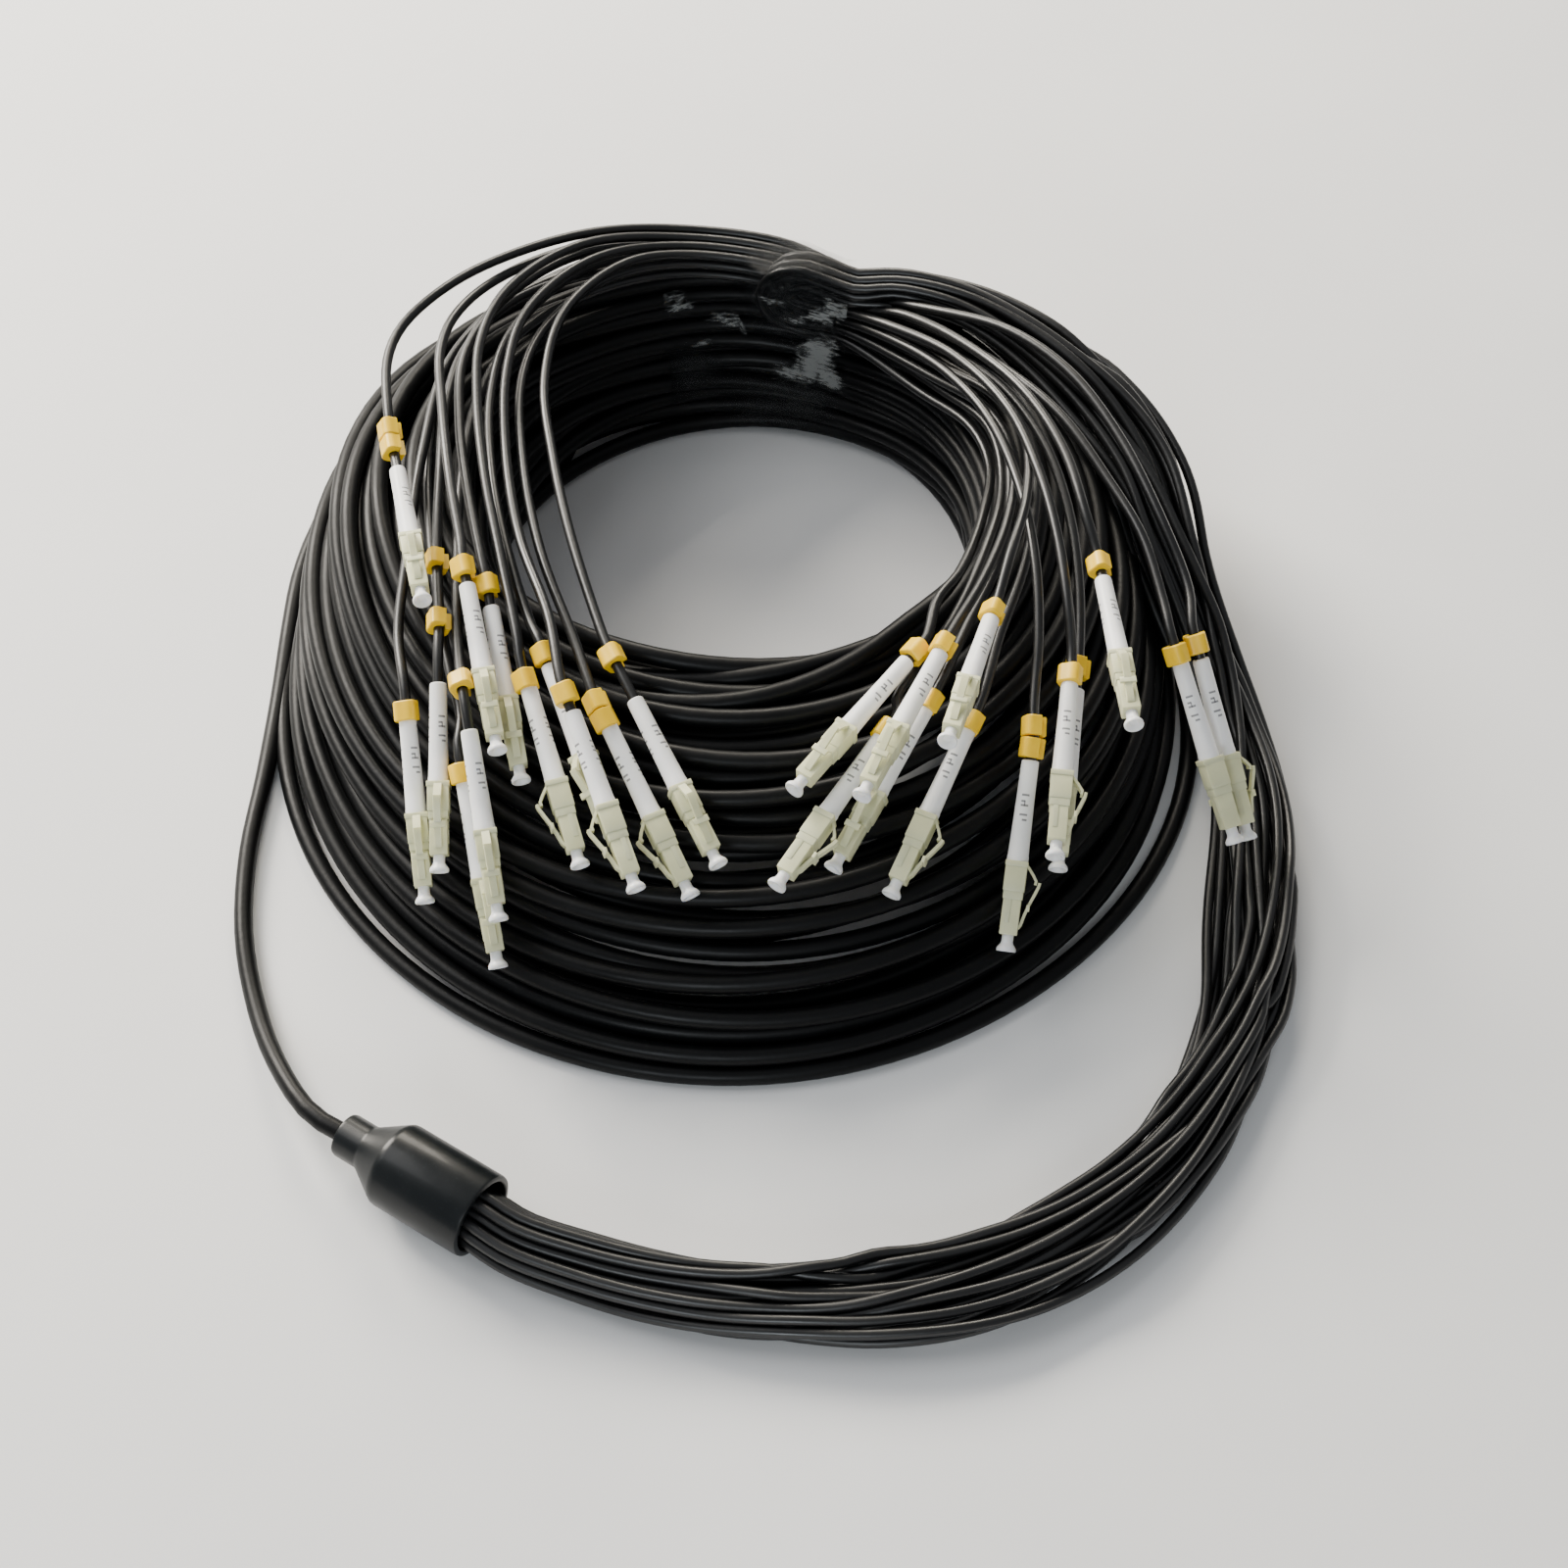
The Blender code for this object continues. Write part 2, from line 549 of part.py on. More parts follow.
def build_plug_mesh(cutters):
    """One plug with its ring, boot, body, latch and cap, from the boot's start at the origin along +X."""
    rear = BOOT_LENGTH
    nose = rear + PLUG_REAR_LENGTH
    cap = nose + PLUG_NOSE_LENGTH
    flare = cap + CAP_NECK_LENGTH
    boot = rod(0.0, BOOT_LENGTH + PLUG_OVERLAP, BOOT_TOP_RADIUS, BOOT_END_RADIUS)
    boot.name = "plug_pattern"
    ring = rod(-RING_LENGTH, RING_LENGTH + PLUG_OVERLAP, RING_RADIUS, RING_RADIUS)
    opening = block(-RING_LENGTH * 1.5, RING_LENGTH * 1.5, RING_OPENING, RING_RADIUS * 2, -RING_RADIUS)
    bore = rod(-RING_LENGTH * 1.5, RING_LENGTH * 1.5, TAIL_DIAMETER / 2 + 2 * GAP, TAIL_DIAMETER / 2 + 2 * GAP)
    body = block(rear, PLUG_REAR_LENGTH, PLUG_REAR_WIDTH, PLUG_REAR_WIDTH)
    front = block(nose - PLUG_OVERLAP, PLUG_NOSE_LENGTH + PLUG_OVERLAP, PLUG_NOSE_WIDTH, PLUG_NOSE_WIDTH)
    neck = rod(cap - PLUG_OVERLAP, CAP_NECK_LENGTH + 2 * PLUG_OVERLAP, CAP_NECK_RADIUS, CAP_NECK_RADIUS)
    end = rod(flare, CAP_END_LENGTH, CAP_NECK_RADIUS + GAP, CAP_END_RADIUS)
    trigger, latch = latch_arms(rear, nose)
    for piece in (ring, body, front, neck, end, trigger, latch):
        combine(boot, piece, "UNION", cutters)
    for piece in (bore, opening):
        combine(boot, piece, "DIFFERENCE", cutters)
    bpy.context.view_layer.update()
    mesh = bpy.data.meshes.new_from_object(boot.evaluated_get(bpy.context.evaluated_depsgraph_get()))
    mesh.transform(boot.matrix_world)
    bpy.data.objects.remove(boot, do_unlink=True)
    mesh.name = "plug"
    return mesh


def latch_arms(rear, nose):
    """The two thin arms that meet over the plug body: a short trigger from behind and the long latch from the nose."""
    half = PLUG_REAR_WIDTH / 2
    peak = Vector((nose - LATCH_PEAK_SETBACK, half + LATCH_RISE - LATCH_THICKNESS))
    trigger_foot = Vector((rear + TRIGGER_SETBACK, half - LATCH_THICKNESS / 2))
    latch_foot = Vector((nose + PLUG_NOSE_LENGTH * 0.62, PLUG_NOSE_WIDTH / 2 - LATCH_THICKNESS / 2))
    trigger_end = trigger_foot.lerp(peak, 0.88)
    return arm(trigger_foot, trigger_end), arm(peak, latch_foot)


def arm(first, last):
    """A thin bar from first to last, both in the plug's upright plane."""
    along = last - first
    middle = (first + last) / 2
    tilt = -math.degrees(math.atan2(along.y, along.x))
    length = along.length + LATCH_THICKNESS
    return block(middle.x - length / 2, length, LATCH_WIDTH, LATCH_THICKNESS, middle.y, tilt)


def plug_place(start, tip, roll):
    """The plug's frame: +X from its boot to its cap, and the latch turned by roll degrees from straight up."""
    ahead = (tip - start).normalized()
    across = Vector((0, 0, 1)).cross(ahead).normalized()
    upward = ahead.cross(across)
    turn = Matrix.Rotation(math.radians(roll), 4, "X")
    frame = Matrix((ahead, across, upward)).transposed().to_4x4()
    return Matrix.Translation(start) @ frame @ turn


def build_tail(number, start_points, tail, plug_mesh, finishes, collection):
    """One tail and its plug: the tail ends inside the ring, just short of the boot."""
    _, route, boot, tip, roll = tail
    boot_place = over_skin(*boot)
    tip_place = over_skin(*tip)
    ahead = (tip_place - boot_place).normalized()
    ends = [boot_place - ahead * TAIL_DIAMETER * TAIL_POINT_SPACING, boot_place - ahead * 1.5 * GAP]
    points = start_points + millimetres(route) + ends
    cord(f"tail_{number:02d}", points, TAIL_DIAMETER, TAIL_POINT_SPACING, collection, finishes["jacket"])
    plug = bpy.data.objects.new(f"plug_{number:02d}", plug_mesh)
    collection.objects.link(plug)
    plug.matrix_world = plug_place(boot_place, tip_place, roll)


def build_tails(collection, cutters, finishes):
    plug_mesh = build_plug_mesh(cutters)
    plug_mesh.materials.clear()
    plug_mesh.materials.append(finishes["plug"])
    for index, tail in enumerate(LEFT_TAILS):
        column, row = tail[0]
        start = around_hole(LEFT_EXIT_ANGLE, LEFT_SLOT_RADII[column], LEFT_SLOT_HEIGHTS[row])
        build_tail(index + 1, [start], tail, plug_mesh, finishes, collection)
    for index, tail in enumerate(RIGHT_TAILS):
        column, row = tail[0]
        radius, height = RIGHT_SLOT_RADII[column], RIGHT_SLOT_HEIGHTS[row]
        middle = (RIGHT_START_ANGLE + RIGHT_EXIT_ANGLE) / 2
        start = [around_hole(angle, radius, height) for angle in (RIGHT_START_ANGLE, middle, RIGHT_EXIT_ANGLE)]
        build_tail(len(LEFT_TAILS) + index + 1, start, tail, plug_mesh, finishes, collection)


def centre_on_floor(collection):
    """Moves the whole model so that the middle of its underside is the origin."""
    bpy.context.view_layer.update()
    graph = bpy.context.evaluated_depsgraph_get()
    corners = []
    for item in collection.objects:
        if item.type == "EMPTY":
            continue
        shape = item.evaluated_get(graph)
        mesh = shape.to_mesh()
        corners.extend(shape.matrix_world @ vertex.co for vertex in mesh.vertices)
        shape.to_mesh_clear()
    low = [min(corner[axis] for corner in corners) for axis in range(3)]
    high = [max(corner[axis] for corner in corners) for axis in range(3)]
    origin = bpy.data.objects.new("origin", None)
    for item in list(collection.objects):
        item.parent = origin
    collection.objects.link(origin)
    origin.location = (-(low[0] + high[0]) / 2, -(low[1] + high[1]) / 2, -low[2])


def main():
    clear_scene()
    collection = bpy.data.collections.new(NAME)
    cutters = bpy.data.collections.new("cutters")
    for group in (collection, cutters):
        bpy.context.scene.collection.children.link(group)
    finishes = {
        "jacket": material("black_jacket", (0.012, 0.013, 0.014), 0.35),
        "boot": material("black_moulding", (0.010, 0.013, 0.015), 0.25),
        "tape": material("clear_tape", (0.35, 0.37, 0.38), 0.15),
        "plug": material("ivory_plug", (0.78, 0.78, 0.62), 0.4),
    }
    build_coil(collection, finishes["jacket"])
    build_lead(collection, finishes["jacket"])
    build_breakout(collection, finishes["boot"])
    build_bundle(collection, finishes["jacket"])
    build_tape(collection, finishes["tape"])
    build_tails(collection, cutters, finishes)
    centre_on_floor(collection)


if __name__ == "__main__":
    main()
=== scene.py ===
"""The looks of a coiled fibre breakout cable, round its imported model."""

import math
import random

import bmesh
import bpy
import numpy as np
from mathutils import Matrix, Vector, noise
from mathutils.kdtree import KDTree


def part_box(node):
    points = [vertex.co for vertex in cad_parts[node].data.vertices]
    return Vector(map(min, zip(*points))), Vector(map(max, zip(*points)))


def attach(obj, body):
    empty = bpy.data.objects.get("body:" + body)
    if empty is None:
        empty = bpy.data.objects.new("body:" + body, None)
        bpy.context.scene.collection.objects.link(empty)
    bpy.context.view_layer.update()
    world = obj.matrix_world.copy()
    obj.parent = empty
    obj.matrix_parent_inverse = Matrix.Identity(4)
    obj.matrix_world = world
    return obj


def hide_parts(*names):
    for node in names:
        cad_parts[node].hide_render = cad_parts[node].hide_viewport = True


bl_info = {
    "name": "Fibre breakout cable",
    "version": (1, 0, 0),
    "blender": (4, 5, 0),
    "location": "3D View > Sidebar > Cable",
    "description": "Builds the coil, its tails, plugs and tape with their finishes",
    "category": "Object",
}

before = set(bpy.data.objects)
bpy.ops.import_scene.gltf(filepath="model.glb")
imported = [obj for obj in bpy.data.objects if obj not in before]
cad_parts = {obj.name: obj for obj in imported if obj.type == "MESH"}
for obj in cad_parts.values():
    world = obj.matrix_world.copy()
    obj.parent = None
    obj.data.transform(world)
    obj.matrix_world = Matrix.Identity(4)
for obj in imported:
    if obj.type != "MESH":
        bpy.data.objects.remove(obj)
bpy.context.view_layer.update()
MM = 0.001

# The coil, as in the model: hole, rim and how far its turns spread
HOLE_CENTRE = (-15 * MM, 75 * MM)
HOLE_RADIUS = 69.5 * MM
RIM_RADIUS_FRONT = 76 * MM
RIM_RADIUS_BACK = 84 * MM
RIM_HEIGHT_FRONT = 63 * MM
RIM_HEIGHT_BACK = 55 * MM
REACH_SIDE = 128 * MM
REACH_FRONT = 183 * MM
REACH_BACK = 108 * MM
SLOPE_BULGE_SIDE = 3.0
SLOPE_BULGE_BACK = 1.15
SLOPE_FALL = 0.75
WALL_LEAN = 0.6

# The tape presses the coil down a little where the tails cross it
PRESSED_SHARE = 0.11
PRESSED_ANGLE = 62
PRESSED_SPREAD = 18

# The coil's box tells how far the model was moved to put its origin at the middle of its underside
coil_low, coil_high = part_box("cable_coil")
SHIFT = Vector((
    (coil_low.x + coil_high.x) / 2 - HOLE_CENTRE[0],
    coil_low.y - HOLE_CENTRE[1] + REACH_FRONT,
    0.0,
))

# One long cable: its first turns lie on the slope from the floor up, then down the wall, then inside
COIL_START_ANGLE = 128
STATIONS = 40
SKIN_TURNS = 34
CORE_TURNS = 16
TURN_GAP = 0.15 * MM
TURN_WANDER = 0.042
TURN_DEPTH = 2.4 * MM
DEPTH_PACE = 1.3
TRUNK_SPACING = 7 * MM

# Where the inside turns run: from and over these shares of the skin, and their depth in diameters
CORE_START = 0.05
CORE_SPREAD = 0.9
CORE_DEPTH = 1.15

# How finely the skin's section is taken, and how many points stand for it
SKIN_SAMPLES = 400
SKIN_POINTS = 61

# How turns and tails settle: rounds, the share of an overlap that a push takes, the share of pushes kept
SETTLE_ROUNDS = 160
PUSH_SHARE = 0.42
PUSHES_KEPT = 0.995

# About a whole wave in radians, and how many points stand for each leg of a route
FULL_WAVE = 6.3
ROUTE_STEPS = 12

# The outer turns lie loose at the front's right and left: middle angle, spread of the angle, how far out
LOOSE_TURNS = 2.6
LOOSE_PLACES = ((-30, 30, 7.5 * MM), (212, 36, 4.5 * MM))

# The coil is fuller at its left back
FULLER_BULGE = 5
FULLER_REACH = 8 * MM
FULLER_ANGLE = 158
FULLER_SPREAD = 32

# Breakout, from the collar to the open end
BREAKOUT_START = (-117.5 * MM, -128 * MM)
BREAKOUT_HEADING = -33.4
COLLAR_RADIUS = 6.2 * MM
COLLAR_LENGTH = 8 * MM
TAPER_LENGTH = 9 * MM
BODY_RADIUS = 12 * MM
BODY_LENGTH = 29 * MM
MOUTH_RADIUS = 10.2 * MM
MOUTH_DEPTH = 5 * MM
BREAKOUT_LENGTH = COLLAR_LENGTH + TAPER_LENGTH + BODY_LENGTH

# Tails where the tape holds them
LEFT_SLOT_RADII = (84 * MM, 88 * MM, 92 * MM, 96 * MM)
LEFT_SLOT_HEIGHTS = (66 * MM, 62 * MM, 58 * MM)
RIGHT_SLOT_RADII = (71.5 * MM, 75.1 * MM, 78.7 * MM)
RIGHT_SLOT_HEIGHTS = (48 * MM, 52 * MM, 56 * MM, 60 * MM)
LEFT_MIDDLE_ANGLE = 81
LEFT_EXIT_ANGLE = 101
RIGHT_EXIT_ANGLE = 62
TIE_ANGLE = 62
TIE_MIDDLE = (82 * MM, 60 * MM)
TIE_LEFT_START = (81 * MM, 50.8 * MM)
TIE_PITCH = (3.6 * MM, 3.35 * MM)
TIE_RIGHT_TOP = 70.4 * MM
TIE_RIGHT_OUTER = ((82.3 * MM, 61.2 * MM), (85.9 * MM, 61.0 * MM), (82.3 * MM, 64.6 * MM))
BEND_RADIUS = 6.6 * MM
BEND_APPROACH = 15 * MM
TIGHTEST_TURN = 0.55

# The bundle: spacing of its stations, and its half width, half height and looseness at its two ends
BUNDLE_SPACING = 5 * MM
MOUTH_SIZES = ((8.2, 8.2, 0.0), (8.4, 8.4, 0.0))
MOUTH_SPREAD = 8.4 * MM
TIE_SIZE = (9, 6, 0.0)

# How it turns and drifts on its way, and over which last share of it the tails gather for the tape
SWIRL = 0.9
SWIRL_PACE = 2.2
DRIFT = 0.34
GATHER_START = 0.72
GATHER_LENGTH = 0.28

# Distances between tails, in diameters, the spacing of their points and the rounds of moving them apart
MOUTH_PITCH = 1.04
CROWDING = 1.03
TAIL_SPACING = 4 * MM
EASE_ROUNDS = 24
BEND_ROUNDS = 14

# Tape: from and to which angle, in how many rows and corners, and how far it stands off
TAPE_ANGLES = (60, 107)
TAPE_ROWS = 9
TAPE_CORNERS = 48
TAPE_OUTSET = 0.35 * MM

# Plug, along its own +X from the start of its boot
BOOT_LENGTH = 28 * MM
PLUG_REAR_LENGTH = 8.5 * MM
PLUG_REAR_WIDTH = 6.0 * MM
PLUG_NOSE_LENGTH = 12 * MM
PLUG_NOSE_WIDTH = 5.0 * MM
LATCH_WIDTH = 2.4 * MM
LATCH_RISE = 4.0 * MM
TAIL_IN_BOOT = 1.5 * MM
PLUG_SIDES = 28

# Marker ring: the angle at one side of its opening, how far round it goes and how flat its sides are
RING_INNER_RADIUS = 1.65 * MM
RING_START = 28
RING_SWEEP = 304
RING_FLATNESS = 0.09

# How light soaks into the white and ivory plastics
SOAKING = {"Subsurface_Radius": (1.0, 0.85, 0.6), "Subsurface_Scale": 0.0015}

# The number on a boot: how often it stands round it, and its strokes, each with its middle and half width
# across and its middle and half length along, as shares
BOOT_PRINTS = 3
BOOT_STROKES = (
    (0.5, 0.20, 0.34, 0.010), (0.5, 0.20, 0.44, 0.010), (0.60, 0.10, 0.40, 0.010), (0.5, 0.035, 0.42, 0.028),
    (0.5, 0.20, 0.53, 0.010), (0.42, 0.12, 0.58, 0.010),
)

# A darker, less clear patch of tape with painted glints, over the bends of the right tails, in millimetres:
# place and size
TAPE_DARK_PATCH = ((4, 144, 61), 22)

# Creased patches of the tape with painted highlights, in millimetres: place and size
TAPE_GLINT_PATCHES = (
    ((13, 137, 46), 8), ((8, 139, 42), 8), ((13, 137, 36), 8), ((6, 139.5, 33), 8), ((0, 141.5, 30), 6),
    ((16, 136, 31), 6),
)

# Long flat painted glints, the same way
TAPE_GLINTS = (
    ((-36, 149, 55), 9), ((-32, 149.5, 51), 8), ((-20, 151, 45), 9), ((-13, 150, 43), 7), ((-26, 148, 37), 6),
    ((17, 135, 64), 10), ((22, 135, 62), 8), ((10, 138, 57), 8), ((13, 136.5, 60), 9), ((4, 141, 54), 6),
    ((-4, 144, 60), 6),
)

# Places where the tape carries a dim painted sheen, a little lighter and less clear, the same way
TAPE_SHEEN_SPOTS = (((-6, 143.3, 13), 20), ((-30, 147, 27), 14), ((8, 140, 22), 12))

# Camera: degrees over the horizon, distance to the origin and length of the lens
CAMERA_TILT = 52
CAMERA_DISTANCE = 0.9
CAMERA_LENS = 69.75

# Lamps: name, place and side in metres, power in watts and colour
LAMPS = (
    ("key", (-1.1, 1.1, 0.9), 0.8, 71, (1.0, 0.94, 0.84)),
    ("back", (-0.05, 1.7, 1.05), 0.7, 30, (1.0, 0.93, 0.80)),
    ("top", (-1.2, 0.4, 1.6), 1.3, 18, (1.0, 1.0, 1.0)),
    ("front", (-0.3, -1.5, 0.8), 0.5, 9, (0.88, 0.95, 1.0)),
)
WORLD_COLOUR = (0.95, 0.97, 1.0, 1.0)
WORLD_STRENGTH = 0.34
FLOOR_SIZE = 6.0

# Route of the lead, in millimetres, from where it meets the coil to the breakout
LEAD_ROUTE = [
    (-137, 122, 6), (-146.5, 98, 5), (-150.5, 78, 4.5), (-151.6, 58, 4), (-152.2, 30, 3.2), (-153.5, 0, 3),
    (-155.3, -28, 3), (-153.5, -56, 3), (-147, -82, 3.6), (-138.5, -103, 7.5),
]

# Route of the bundle, in millimetres: x, y, z, half its width, half its height and how loose it is
BUNDLE_ROUTE = [
    (-70, -159, 10.6, 9, 8, 0.0), (-52, -165, 8.6, 10, 7, 0.2), (-34, -170, 7.4, 11, 6.6, 0.4),
    (-15, -174, 7, 12, 6.4, 0.6), (6, -176, 7, 12.5, 6.4, 0.8), (26, -175.5, 7, 12.5, 6.4, 1.0),
    (52, -169.5, 7, 12, 6.4, 1.0), (78, -155.5, 7, 11.5, 6.6, 0.8), (99.5, -136, 7, 10.5, 6.6, 0.8),
    (117, -110, 7, 10.5, 6.6, 0.8), (129, -81, 7, 11.5, 6.6, 1.0), (134, -46, 7.4, 11.5, 6.8, 1.0),
    (135, -12, 8.4, 11, 7.2, 1.0), (131, 15, 11, 10, 7.5, 1.0), (124, 38, 20, 9.5, 8, 1.0),
    (116, 60, 34, 10, 9, 1.0), (109, 86, 45, 14, 10, 1.0), (97, 107, 53, 17, 9, 1.0),
    (80, 125, 58, 15, 8, 0.8), (59, 139.5, 60.5, 10, 6, 0.5), (38, 146.5, 61, 8, 6, 0.1),
]

# Each tail: slot at the tape (column, row), route over the coil, boot, cap, latch turn and how far back
# its marker rings sit
LEFT_TAILS = [
    ((3, 0), [(-62, 158, 74), (-90, 140, 78), (-105, 124, 80), (-114, 110, 80), (-117, 96, 80),
              (-115, 74, 79)],
     (-111, 54, 19.5), (-100, 3, 24), 0, (11, 17)),
    ((2, 2), [(-62, 157, 60.5), (-86, 138, 63.5), (-101, 110, 66), (-106, 74, 66), (-108, 38, 63),
              (-109, 8, 59)],
     (-105, -18, 8.5), (-99, -64, 9.5), 0, (2.5,)),
    ((1, 2), [(-60, 153, 62), (-84, 134, 67), (-96, 112, 69), (-100, 88, 70), (-100, 60, 69), (-99, 32, 68),
              (-96.5, 5, 67)],
     (-96, -13, 10), (-94.5, -60, 12), 0, (21, 43)),
    ((3, 1), [(-64, 158, 68.5), (-88, 137, 74), (-99, 118, 77), (-102, 102, 78), (-100, 80, 78),
              (-95.5, 49, 78), (-91, 26, 77)],
     (-88.5, 12, 15), (-78, -38, 16), 0, (7,)),
    ((2, 1), [(-62, 153.5, 70), (-84, 130, 74), (-95, 104, 75), (-95, 77, 74), (-91, 50, 74),
              (-85.5, 24, 73.5)],
     (-82, 8, 9.5), (-72, -41, 6), 0, (8,)),
    ((3, 2), [(-64, 160, 58.8), (-90, 137, 59.5), (-103, 108, 61.3), (-105, 80, 61.8), (-103, 50, 62),
              (-99, 22, 62), (-94, -4, 60), (-89.5, -22, 57.5)],
     (-88, -39, 8.5), (-78, -83, 11), 0, (3,)),
    ((0, 2), [(-57, 146, 62), (-80, 124, 65), (-91, 97, 65), (-94, 66, 66), (-93, 26, 67), (-90, -9, 67.5)],
     (-86, -32, 16.5), (-77, -78, 19.5), 0, (16,)),
    ((2, 0), [(-62, 151, 76), (-83, 127, 80), (-90, 105, 80), (-90, 84, 78), (-86, 53, 76), (-80, 24, 74),
              (-73.5, -6, 71)],
     (-70.3, -18.5, 9), (-55, -66, 9.5), 90, (4,)),
    ((1, 1), [(-60, 149.5, 68), (-82, 118, 71), (-87, 92, 70), (-85, 62, 70), (-79, 31, 70), (-70, 1, 69)],
     (-65, -11, 7.5), (-46, -59, 7), 45, (5,)),
    ((1, 0), [(-58, 147, 74), (-77, 121, 77), (-82, 97, 76), (-81, 67, 74), (-75, 31, 74.5), (-65, -1, 76)],
     (-57.5, -31.5, 16.5), (-39.5, -77.5, 20.5), 90, (7,)),
    ((0, 1), [(-53, 147.5, 66), (-72, 121, 70), (-78, 97, 71), (-76, 64, 71), (-69, 28, 71), (-58, -4, 69)],
     (-48, -30, 7), (-25, -74, 7.5), 90, (3.5, 9)),
    ((0, 0), [(-49, 148, 71), (-66, 124, 74), (-71, 95, 73), (-67, 63, 73), (-61, 34, 73), (-53, 6, 71),
              (-49, -6, 70)],
     (-41, -22.5, 6.5), (-17.5, -67.5, 8.5), 0, (16,)),
]

RIGHT_TAILS = [
    ((0, 0), [(42, 113, 50), (56, 95, 54), (61, 75, 57), (58, 53, 60), (50, 25, 66), (43, 12, 68.5)],
     (34, -10.5, 8.5), (4, -51, 15), 0, (5.5,)),
    ((1, 0), [(47, 111, 54), (61, 89, 60), (64, 63, 62), (58, 36, 64), (46.5, 6, 65), (37, -9, 63.8),
              (31, -19.5, 63.4)],
     (26.5, -33, 7.5), (-1, -75, 17.5), -90, (4,)),
    ((2, 0), [(50, 113, 58.5), (64, 86, 63.5), (66, 60, 65), (61, 28, 67), (51, 3, 67)],
     (39, -23, 7), (13, -67, 7.5), 0, (4,)),
    ((0, 1), [(44, 111, 59.6), (61, 88, 67), (67, 64, 71), (64, 40, 72), (56, 16, 73)],
     (43, -11, 14), (21, -58, 25.5), 0, (4,)),
    ((1, 1), [(47, 110, 64), (62, 90, 72), (70, 66, 77), (69, 42, 79), (63, 18, 80)],
     (57, -3, 20), (43, -53, 44.5), 0, (4.5,)),
    ((2, 1), [(50, 112, 62), (68, 88, 67), (73, 59, 68), (69, 29, 67), (60, 1, 64.5)],
     (51, -26, 6.5), (29, -71, 8), -90, (3,)),
    ((0, 2), [(34, 121, 64), (48, 101, 71), (60, 77, 75), (68, 47, 75.5), (71, 20, 73), (71, 0, 67),
              (69, -22, 59)],
     (68, -33, 10.5), (61, -76, 10), -90, (5, 11)),
    ((0, 3), [(33, 123, 68), (50, 104, 75), (65, 77, 80), (73, 49, 81), (77, 26, 79), (79, 6, 74)],
     (79, -15, 19.5), (73, -66, 40), -90, (4,)),
    ((1, 3), [(37, 127, 69), (54, 105, 78), (70, 79, 84), (80, 54, 85), (85, 32, 82)],
     (89, 13, 28), (94, -40, 62), 0, (7,)),
    ((2, 2), [(45.5, 121.8, 67.8), (66, 97, 75), (81, 76, 77), (93, 54, 74), (102, 34, 71), (107, 13, 66)],
     (111, -3, 45.5), (127, -42, 26), 180, (4,)),
    ((2, 3), [(46, 127, 71), (67, 110, 79), (84, 90, 81), (97, 67, 78), (107, 43, 72), (115, 21, 63)],
     (117.5, 1.5, 55.5), (131.8, -37, 20.5), -90, (6,)),
    ((1, 2), [(46, 116, 66.3), (64, 95.5, 71), (76, 71, 71), (82, 47, 68), (84, 22, 63)],
     (82, -8, 7.5), (75.5, -57, 15), 0, (8,)),
]


def size_field(name, description, size):
    return bpy.props.FloatProperty(name=name, description=description, default=size, unit="LENGTH")


def colour_field(name, description, colour):
    return bpy.props.FloatVectorProperty(
        name=name, description=description, default=colour, size=3, subtype="COLOR")


class CableSizes(bpy.types.PropertyGroup):
    """Sizes and colours that a user would change."""

    cable_diameter: size_field("Cable diameter", "Thickness of the coiled cable", 5.5 * MM)
    tail_diameter: size_field("Tail diameter", "Thickness of each tail", 3.0 * MM)
    ring_length: size_field("Ring length", "Length of a marker ring along its tail", 5.6 * MM)
    ring_radius: size_field("Ring radius", "Outer radius of a marker ring", 3.5 * MM)
    tape_thickness: size_field("Tape thickness", "Thickness of the tape at the back", 0.3 * MM)
    jacket_colour: colour_field("Jacket", "Colour of the cable and tails", (0.0025, 0.0027, 0.0030))
    plug_colour: colour_field("Plug", "Colour of the plug bodies", (0.68, 0.68, 0.43))
    boot_colour: colour_field("Boot", "Colour of the boots and caps", (0.92, 0.92, 0.91))
    ring_colour: colour_field("Ring", "Colour of the marker rings", (0.97, 0.60, 0.006))


class Sock:
    """A shader socket on which sums and products add Math nodes."""

    def __init__(self, paint, socket):
        self.paint = paint
        self.socket = socket

    def math(self, operation, *others):
        return self.paint.node("ShaderNodeMath", {"operation": operation}, dict(enumerate((self, *others))))

    def __add__(self, other):
        return self.math("ADD", other)

    def __sub__(self, other):
        return self.math("SUBTRACT", other)

    def __rsub__(self, other):
        return self * -1.0 + other

    def __mul__(self, other):
        return self.math("MULTIPLY", other)

    __radd__ = __add__
    __rmul__ = __mul__


